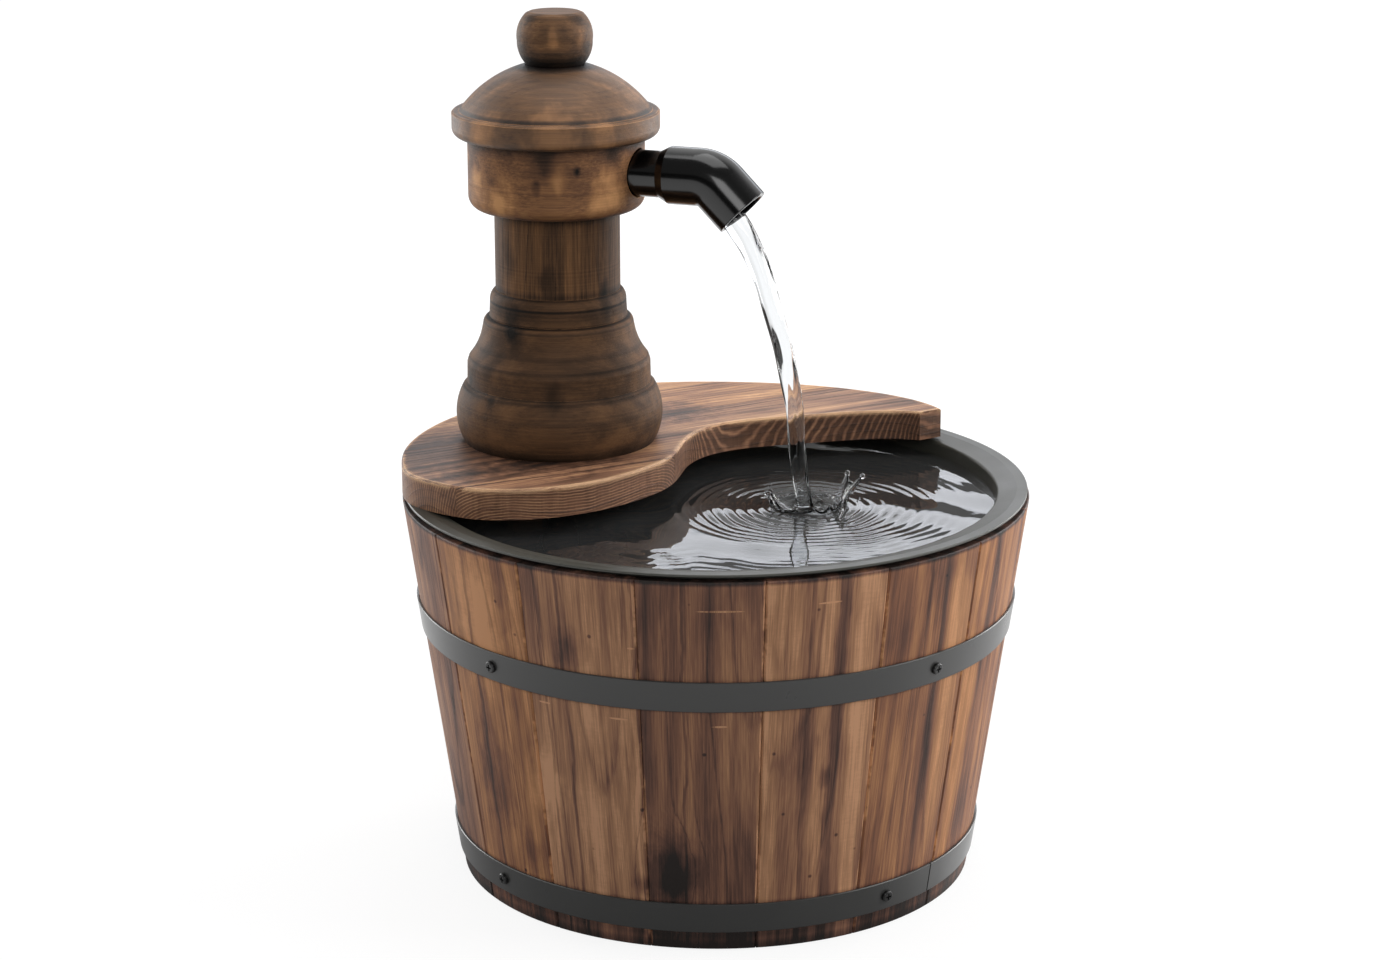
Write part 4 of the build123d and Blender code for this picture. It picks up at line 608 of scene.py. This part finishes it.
DRESS = (
    (hoop_enamel, "hoop_upper hoop_lower"),
    (screw_steel, "hoop_upper_screws hoop_lower_screws batten_screws tower_screws"),
    (liner_plastic, "liner"),
    (board_wood, "board_front_plank board_middle_plank board_rear_plank"),
    (batten_wood, "batten_front batten_rear"),
    (dowel_wood, "board_dowels cap_dowels knob_dowel"),
    (base_wood, "tower_base"), (column_wood, "tower_column"), (head_wood, "tower_head"),
    (cap_wood, "tower_cap"), (knob_wood, "tower_knob"),
    (pipe_plastic, "spout_pipe spout_elbow riser_elbow"), (hose_plastic, "riser_hose"),
    (pump_plastic, "pump_housing pump_chamber strainer_cover"), (dial_plastic, "flow_dial"),
    (impeller_plastic, "impeller"), (seal_rubber, "chamber_seal suction_cups cable_gland"),
    (shaft_steel, "impeller_shaft"), (magnet_ferrite, "rotor_magnet"),
    (stave_wood, " ".join(f"stave_{number + 1:02d}" for number in range(STAVE_COUNT))),
    (floor_wood, "floor_plank_1 floor_plank_2 floor_plank_3"),
)
for material, nodes in DRESS:
    for node in nodes.split():
        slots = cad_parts[node].data.materials
        slots.clear()
        slots.append(material)


def mesh_piece(name, points, faces, material):
    """A smooth mesh piece from points in millimetres."""
    mesh = bpy.data.meshes.new(name)
    mesh.from_pydata([[c * MM for c in point] for point in points], [], faces)
    outward = bmesh.new()
    outward.from_mesh(mesh)
    bmesh.ops.recalc_face_normals(outward, faces=outward.faces)
    outward.to_mesh(mesh)
    outward.free()
    mesh.polygons.foreach_set("use_smooth", [True] * len(mesh.polygons))
    mesh.materials.append(material)
    mesh.update()
    piece = bpy.data.objects.new(name, mesh)
    bpy.context.scene.collection.objects.link(piece)
    return piece


def ring_faces(rings, around, first=0, closed=True):
    """Quads between rings of points that follow each other."""
    faces = []
    for ring in range(rings - 1):
        for step in range(around if closed else around - 1):
            a = first + ring * around + step
            b = first + ring * around + (step + 1) % around
            faces.append((a, b, b + around, a + around))
    return faces


# Pool: rings of ripples run out from where the stream lands, over slow waves that die down at the far wall
POOL_AROUND = 256
RIPPLE_LENGTH = 6.2
RIPPLE_HEIGHT = 0.40
RIPPLE_FADE = 40
NEAR_RINGS = 110
NEAR_REACH = 74
FAR_RINGS = 34
CALM_REACH = 50
waves = random.Random(4)
SLOW_WAVES = []
for _ in range(12):
    length = waves.uniform(13, 60)
    turn = waves.uniform(0, 2 * math.pi)
    SLOW_WAVES.append((math.cos(turn) * 2 * math.pi / length, math.sin(turn) * 2 * math.pi / length,
                       waves.uniform(0, 2 * math.pi), length * 0.0028))
# Patches of stirred water: place to the right and away as the camera sees it, reach and height
STIRRED = ((-62, -100, 32, 0.34), (-20, -112, 22, 0.22), (-95, -60, 20, 0.16))


def pool_height(x, y):
    far = math.hypot(x - LANDING[0], y - LANDING[1])
    turn = math.atan2(y - LANDING[1], x - LANDING[0])
    rightward = x * VIEW_RIGHT[0] + y * VIEW_RIGHT[1]
    away = x * VIEW_AWAY[0] + y * VIEW_AWAY[1]
    at_wall = 1 - min(max((edge_radius - math.hypot(x, y)) / CALM_REACH, 0), 1)
    at_back = min(max(away / CALM_REACH, 0), 1)
    calm = 1 - at_wall * at_back
    height = calm * sum(size * math.sin(kx * x + ky * y + start) for kx, ky, start, size in SLOW_WAVES)
    broken = 0.75 + 0.3 * math.sin(3 * turn + 0.4 + far / 30) + 0.25 * math.sin(7 * turn + far / 9)
    fade = RIPPLE_FADE * (1 - 0.32 * math.cos(turn - VIEW_TURN))
    ripple = RIPPLE_HEIGHT * broken * math.exp(-max(far - 18, 0) / fade) * min(far / 14, 1)
    late = 0.7 * math.sin(2 * turn + 1) + 0.8 * math.sin(3 * turn + far / 16)
    late += 0.5 * math.sin(5 * turn - far / 11)
    height += ripple * math.cos(2 * math.pi * far / RIPPLE_LENGTH + late)
    for to_right, to_back, wide, size in STIRRED:
        here = math.exp(-(((rightward - to_right) / wide) ** 2) - ((away - to_back) / (0.55 * wide)) ** 2)
        crest = math.sin(0.66 * away + 1.6 * math.sin(0.13 * rightward) + 0.9 * math.sin(0.31 * rightward + 1))
        height += size * here * crest * (0.7 + 0.5 * math.sin(0.35 * rightward + 0.2 * away))
    # The stream pushes a hollow ring, and a swell stands round it
    height -= 2.2 * math.exp(-(((far - 9) / 3.6) ** 2))
    height += (1.3 + 0.5 * math.sin(5 * turn + 2)) * math.exp(-(((far - 17) / 3.2) ** 2))
    return WATER_LEVEL + height


def pool_wall(z):
    return LINER_MOUTH_RADIUS - BARREL_TAPER * (LINER_MOUTH_HEIGHT - z) + 0.5


edge_radius = pool_wall(WATER_LEVEL)
pool_points = [(LANDING[0], LANDING[1], pool_height(*LANDING))]
rim_turns = []
for step in range(POOL_AROUND):
    turn = 2 * math.pi * step / POOL_AROUND
    ux, uy = math.cos(turn), math.sin(turn)
    along = LANDING[0] * ux + LANDING[1] * uy
    reach = -along + math.sqrt(along**2 - LANDING[0] ** 2 - LANDING[1] ** 2 + edge_radius**2)
    rim_turns.append((ux, uy, reach))
for ring in range(1, NEAR_RINGS + FAR_RINGS + 1):
    for ux, uy, reach in rim_turns:
        near = min(NEAR_REACH, reach * 0.8)
        if ring <= NEAR_RINGS:
            far = near * ring / NEAR_RINGS
        else:
            far = near + (reach - near) * (ring - NEAR_RINGS) / FAR_RINGS
        x, y = LANDING[0] + far * ux, LANDING[1] + far * uy
        pool_points.append((x, y, pool_height(x, y)))
corner_middle = pool_wall(LINER_FLOOR + LINER_FLOOR_ROUND) - LINER_FLOOR_ROUND
pool_profile = [(pool_wall(LINER_FLOOR + LINER_FLOOR_ROUND), LINER_FLOOR + LINER_FLOOR_ROUND)]
for turn in (30, 60, 90):
    turn = math.radians(turn)
    pool_profile.append((corner_middle + LINER_FLOOR_ROUND * math.cos(turn),
                         LINER_FLOOR + LINER_FLOOR_ROUND - (LINER_FLOOR_ROUND + 0.4) * math.sin(turn)))
for radius, height in pool_profile:
    for ux, uy, reach in rim_turns:
        x, y = LANDING[0] + reach * ux, LANDING[1] + reach * uy
        pool_points.append((x * radius / edge_radius, y * radius / edge_radius, height))
pool_rings = NEAR_RINGS + FAR_RINGS + len(pool_profile)
pool_faces = [(0, 1 + step, 1 + (step + 1) % POOL_AROUND) for step in range(POOL_AROUND)]
pool_faces += ring_faces(pool_rings, POOL_AROUND, first=1)
last = 1 + (pool_rings - 1) * POOL_AROUND
pool_faces.append(tuple(last + step for step in range(POOL_AROUND - 1, -1, -1)))
pool = mesh_piece("pool_water", pool_points, pool_faces, pool_water_look)
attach(pool, "liner")

# Stream: it clings to the lower wall of the spout, leaves in a lobed rope and thins as it falls.
# Each row is x, height and half the width.
STREAM_PATH = ((-2.6, 373.2, 5), (1.6, 369, 5.6), (7.4, 362.6, 6.6), (13.2, 355, 6.8),
               (19.6, 344.5, 6.2), (25.2, 332.6, 6), (31.2, 315.9, 6), (37.2, 295.6, 5.2),
               (41.6, 274.5, 4.7), (44.8, 256.8, 4.3), (46.8, 237.3, 4.2), (48.8, 219.6, 4.2),
               (50.6, 208, 4.4), (51.8, 201, 4.8))
STREAM_AROUND = 40
STREAM_STEPS = 11
STREAM_SPLIT = 6


def between(a, b, c, d, t):
    """Catmull-Rom curve from b to c."""
    bend = (2 * a - 5 * b + 4 * c - d) * t**2 + (3 * b - a - 3 * c + d) * t**3
    return 0.5 * (2 * b + (c - a) * t + bend)


def stream_rings(start, end):
    """Rings of points along the stream between two rows of its path."""
    rings = []
    for row in range(start, end):
        rows = [STREAM_PATH[min(max(row + shift, 0), len(STREAM_PATH) - 1)] for shift in (-1, 0, 1, 2)]
        steps = STREAM_STEPS + (1 if row == end - 1 else 0)
        for step in range(steps):
            t = step / STREAM_STEPS
            x, z, half = (between(*[r[place] for r in rows], t) for place in range(3))
            x2, z2 = (between(*[r[place] for r in rows], t + 0.02) for place in (0, 1))
            x1, z1 = (between(*[r[place] for r in rows], t - 0.02) for place in (0, 1))
            size = math.hypot(x2 - x1, z2 - z1)
            side = (-(z2 - z1) / size, (x2 - x1) / size)
            fall = STREAM_PATH[0][1] - z
            loose = min(max((fall - 14) / 30, 0), 1)
            ring = []
            for step_round in range(STREAM_AROUND):
                turn = 2 * math.pi * step_round / STREAM_AROUND
                lobes = 0.13 * math.cos(2 * turn + fall / 21) + 0.07 * math.cos(3 * turn - fall / 13 + 1)
                lobes += 0.045 * math.cos(5 * turn + fall / 9) + 0.03 * math.cos(8 * turn - fall / 17)
                lobes += 0.05 * math.sin(fall / 8.5) * math.cos(turn + 1)
                radius = half * (1 + loose * lobes)
                out, sideways = radius * math.cos(turn), radius * math.sin(turn) * (1 - 0.12 * loose)
                ring.append((x + side[0] * out, sideways, z + side[1] * out))
            rings.append(ring)
    return rings


for name, start, end, bodies in (
    ("stream_upper", 0, STREAM_SPLIT, ("spout", "top")),
    ("stream_lower", STREAM_SPLIT, len(STREAM_PATH) - 1, ("top", "liner")),
):
    rings = stream_rings(start, end)
    points = [point for ring in rings for point in ring]
    stream = mesh_piece(name, points, ring_faces(len(rings), STREAM_AROUND), stream_water_look)
    if name == "stream_upper":
        reach = (STREAM_PATH[3], STREAM_PATH[STREAM_SPLIT])
    else:
        reach = (STREAM_PATH[STREAM_SPLIT], STREAM_PATH[-2])
    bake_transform(stream)

# Splash: a low crown round the landing with two tall tongues thrown to the right, and drops.
# Each tongue is its direction, height, half width in degrees and how far it leans out for its height.
TONGUES = ((38, 12.5, 8, 0.25), (19, 13, 8, 0.75), (29, 4, 12, 0.5), (352, 5, 8, 0.4),
           (178, 3.6, 6, 0.5), (196, 5.6, 6, 0.5), (214, 6.6, 5, 0.6), (234, 4.6, 6, 0.5),
           (270, 2.2, 7, 0.4), (300, 3, 6, 0.4), (325, 2.6, 6, 0.4), (110, 2, 10, 0.3))
CROWN_RADIUS = 18
CROWN_AROUND = 180


def crown_shape(turn):
    """Height of the crown and its lean outward at its top."""
    height = 2.5 + 0.5 * math.sin(9 * math.radians(turn)) + 0.4 * math.sin(14 * math.radians(turn) + 1)
    lean = 0.35 * height
    for middle, size, half, tilt in TONGUES:
        apart = (turn - middle + 180) % 360 - 180
        rise = size * math.exp(-((apart / half) ** 2))
        height += rise
        lean += rise * tilt
    return height, lean


def by_landing(turn, far, height):
    """A point by its turn and distance from where the stream lands, and its height over the pool."""
    return LANDING[0] + far * math.cos(turn), LANDING[1] + far * math.sin(turn), WATER_LEVEL + height


crown_points = []
# The crown's wall from outside to inside: distance from its middle and share of its height
profile = ((1.7, -2.2), (1.2, 0.2), (0.75, 0.6), (0.5, 0.88), (0, 1), (-0.5, 0.86), (-0.75, 0.55),
           (-1.1, 0.2), (-1.6, -2.2))
for out, share in profile:
    for step in range(CROWN_AROUND):
        turn = 360 * step / CROWN_AROUND
        height, lean = crown_shape(turn)
        rise = height * share if share > 0 else share
        radius = CROWN_RADIUS + lean * max(share, 0) ** 1.3 + out * (0.8 + 0.07 * height)
        crown_points.append(by_landing(math.radians(turn), radius, rise))
crown_faces = ring_faces(len(profile), CROWN_AROUND)
top_ring = (len(profile) - 1) * CROWN_AROUND
crown_faces += [(top_ring + step, top_ring + (step + 1) % CROWN_AROUND, (step + 1) % CROWN_AROUND, step)
                for step in range(CROWN_AROUND)]

# Drops: one on each tongue, some in the air and some that lie on the pool; the rows give their number,
# and how far out, how high and how large they are
drops = random.Random(11)
DROP_SIDES = 10
DROP_ROWS = 6
LOOSE_DROPS = ((16, (16, 30), (2.5, 9), (0.35, 0.8)), (26, (7, 22), (-0.3, 0.5), (0.6, 1.4)))
drop_places = []
for middle, size, half, tilt in TONGUES:
    height, lean = crown_shape(middle)
    drop_places.append((*by_landing(math.radians(middle), CROWN_RADIUS + lean, height), 0.9 + 0.055 * size))
for count, reaches, heights, sizes in LOOSE_DROPS:
    for _ in range(count):
        turn = drops.uniform(0, 2 * math.pi)
        reach = drops.uniform(*reaches)
        drop_places.append((*by_landing(turn, reach, drops.uniform(*heights)), drops.uniform(*sizes)))
for x, y, z, radius in drop_places:
    first = len(crown_points)
    crown_points.append((x, y, z - radius))
    for row in range(1, DROP_ROWS):
        tip = math.pi * row / DROP_ROWS
        for step in range(DROP_SIDES):
            angle = 2 * math.pi * step / DROP_SIDES
            crown_points.append((x + radius * math.sin(tip) * math.cos(angle),
                                 y + radius * math.sin(tip) * math.sin(angle), z - radius * math.cos(tip)))
    crown_points.append((x, y, z + radius * 1.15))
    final = len(crown_points) - 1
    crown_faces += ring_faces(DROP_ROWS - 1, DROP_SIDES, first=first + 1)
    for step in range(DROP_SIDES):
        following = (step + 1) % DROP_SIDES
        crown_faces.append((first, first + 1 + following, first + 1 + step))
        crown_faces.append((final, final - DROP_SIDES + step, final - DROP_SIDES + following))
splash = mesh_piece("splash_crown_and_drops", crown_points, crown_faces, stream_water_look)
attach(splash, "liner")


def in_view(right, away, up):
    """A place or a way, given to the right, away and up as the camera sees it."""
    return [right * VIEW_RIGHT[c] + away * VIEW_AWAY[c] + up * UP[c] for c in range(3)]


def kinds_of_ray(tree):
    """Whether a ray comes from the camera, has gone through water, or was mirrored without that."""
    rays = add(tree, "LightPath").outputs
    bent = rays["Is Transmission Ray"]
    bounced = add(tree, "Math MAXIMUM", [rays["Is Glossy Ray"], bent])
    return rays["Is Camera Ray"], bent, add(tree, "Math SUBTRACT", [bounced, bent])


# Studio: pale floor, white surround, soft boxes at both sides, above, behind and in front. The surround has
# one strength for the light it gives, one in mirrors and one through water.
SURROUND_LIGHT = 0.55
IN_MIRRORS = 1.3
world = bpy.data.worlds.new("studio")
bpy.context.scene.world = world
world.use_nodes = True
sky = world.node_tree
sky.nodes.clear()
from_camera, bent, bounced = kinds_of_ray(sky)
way = add(sky, "TexCoord").outputs["Generated"]
facing = add(sky, "VectorMath DOT_PRODUCT", [way, VIEW_AWAY]).outputs["Value"]
walls = add(sky, "MapRange", [facing, 0.05, 0.6, 0.14, 1], **SMOOTH)
rise = add(sky, "SeparateXYZ", [way]).outputs["Z"]
low_band = add(sky, "MapRange", [rise, 0.262, 0.285, 0.2, 1], **SMOOTH)
through = add(sky, "MapRange", [facing, 0.66, 0.86, 0.05, 0.86], **SMOOTH)
loose = add(sky, "Math SUBTRACT", [1, bounced])
loose = add(sky, "Math SUBTRACT", [loose, bent])
strength = add(sky, "Math MULTIPLY", [walls, SURROUND_LIGHT])
strength = add(sky, "Math MULTIPLY", [strength, loose])
in_mirror = add(sky, "Math MULTIPLY", [walls, low_band])
in_mirror = add(sky, "Math MULTIPLY", [in_mirror, IN_MIRRORS])
strength = add(sky, "Math MULTIPLY_ADD", [in_mirror, bounced, strength])
strength = add(sky, "Math MULTIPLY_ADD", [through, bent, strength])
seen = add(sky, "Math MAXIMUM", [from_camera, strength])
backdrop = add(sky, "Background", {"Color": (1, 1, 1, 1), "Strength": seen})
add(sky, "OutputWorld", {"Surface": backdrop})

# Painted board, rolled matt: pale to the camera, and darker in mirrors where the object shades it. The shade
# in mirrors leaves out a side that lies this many degrees to the right of the far one.
FLOOR_HALF_WIDTH = 8
LIT_SIDE_TURN = math.radians(25)
floor_look, tree = new_material("pale_floor")
from_camera, bent, bounced = kinds_of_ray(tree)
spot = add(tree, "TexCoord").outputs["Object"]
from_middle = add(tree, "VectorMath LENGTH", [spot]).outputs["Value"]
far_glow = add(tree, "MapRange", [from_middle, 0.35, 1.4, 0.86, 1])
near_shade = add(tree, "MapRange", [from_middle, 0.19, 0.42, 0.30, 1])
towards = add(tree, "VectorMath NORMALIZE", [spot])
behind = add(tree, "VectorMath DOT_PRODUCT", [towards, VIEW_AWAY]).outputs["Value"]
lit_side = in_view(math.sin(LIT_SIDE_TURN), math.cos(LIT_SIDE_TURN), 0)
lit_way = add(tree, "VectorMath DOT_PRODUCT", [towards, lit_side]).outputs["Value"]
beyond = add(tree, "MapRange", [lit_way, -0.65, 0.1, 0, 1])
near_shade = add(tree, "Math MAXIMUM", [near_shade, beyond])
aside = add(tree, "MapRange", [behind, 0.68, 0.88, 0.05, 0.86], **SMOOTH)
glow = add(tree, "Math MULTIPLY", [from_camera, far_glow])
glow = add(tree, "Math MULTIPLY_ADD", [bounced, near_shade, glow])
glow = add(tree, "Math MULTIPLY_ADD", [bent, aside, glow])
paint = add(tree, "BsdfDiffuse", {"Color": (0.16, 0.16, 0.16, 1)})
lit = add(tree, "Emission", {"Color": (1, 1, 1, 1), "Strength": glow})
finish_material(tree, add(tree, "AddShader", [paint, lit]))
floor_mesh = bpy.data.meshes.new("floor")
corners = [(x * FLOOR_HALF_WIDTH, y * FLOOR_HALF_WIDTH, 0) for x, y in ((-1, -1), (1, -1), (1, 1), (-1, 1))]
floor_mesh.from_pydata(corners, [], [(0, 1, 2, 3)])
floor_mesh.materials.append(floor_look)
studio_floor = bpy.data.objects.new("floor", floor_mesh)
bpy.context.scene.collection.objects.link(studio_floor)

# Each soft box: place to the right, away and up in metres as the camera sees it, its sides, power and tint
SOFT_BOXES = {
    "left_box": ((-1.7, -0.1, 0.9), (1, 1.5), 10, "#ffffff"),
    "right_box": ((1.7, -0.2, 1), (1, 1.5), 24, "#ffffff"),
    "top_box": ((0.1, 0.1, 1.9), (1.2, 1.2), 11, "#ffffff"),
    "rear_box": ((0.3, 2.4, 0.46), (2.6, 0.5), 8.6, "#f0f4ff"),
    "rear_upper_box": ((0.3, 2.4, 1.12), (2.6, 0.5), 8, "#eff4ff"),
    "rear_left_box": ((-1.5, 1.3, 0.5), (0.7, 1.2), 18, "#ffffff"),
    "rear_right_box": ((1.6, 1.3, 0.5), (0.7, 1.2), 24, "#ffffff"),
    "front_box": ((0.2, -2.6, 1.5), (1.6, 1.2), 22, "#ffffff"),
}
for name, (place, sides, power, tint) in SOFT_BOXES.items():
    lamp = bpy.data.lights.new(name, "AREA")
    lamp.shape = "RECTANGLE"
    lamp.size, lamp.size_y = sides
    lamp.energy = power
    lamp.color = linear(tint)[:3]
    box = bpy.data.objects.new(name, lamp)
    box.location = in_view(*place)
    aim = Vector((0.0, 0.0, 0.22)) - box.location
    box.rotation_mode = "QUATERNION"
    box.rotation_quaternion = aim.to_track_quat("-Z", "Y")
    box.visible_camera = False
    box.visible_transmission = name in ("rear_box", "rear_upper_box")
    box.visible_glossy = name != "rear_box"
    bpy.context.scene.collection.objects.link(box)

# The camera that was fitted to the photo
LOOKS_DOWN = 16.09
camera_data = bpy.data.cameras.new("camera")
camera_data.lens = 85.6
camera_data.sensor_width = 36
camera_data.shift_x = -0.01136
camera = bpy.data.objects.new("camera", camera_data)
camera.location = (0.5951, -1.6351, 0.7161)
camera.rotation_euler = (math.radians(90 - LOOKS_DOWN), 0, VIEW_TURN)
bpy.context.scene.collection.objects.link(camera)
bpy.context.scene.camera = camera
bpy.context.scene.view_settings.view_transform = "Standard"
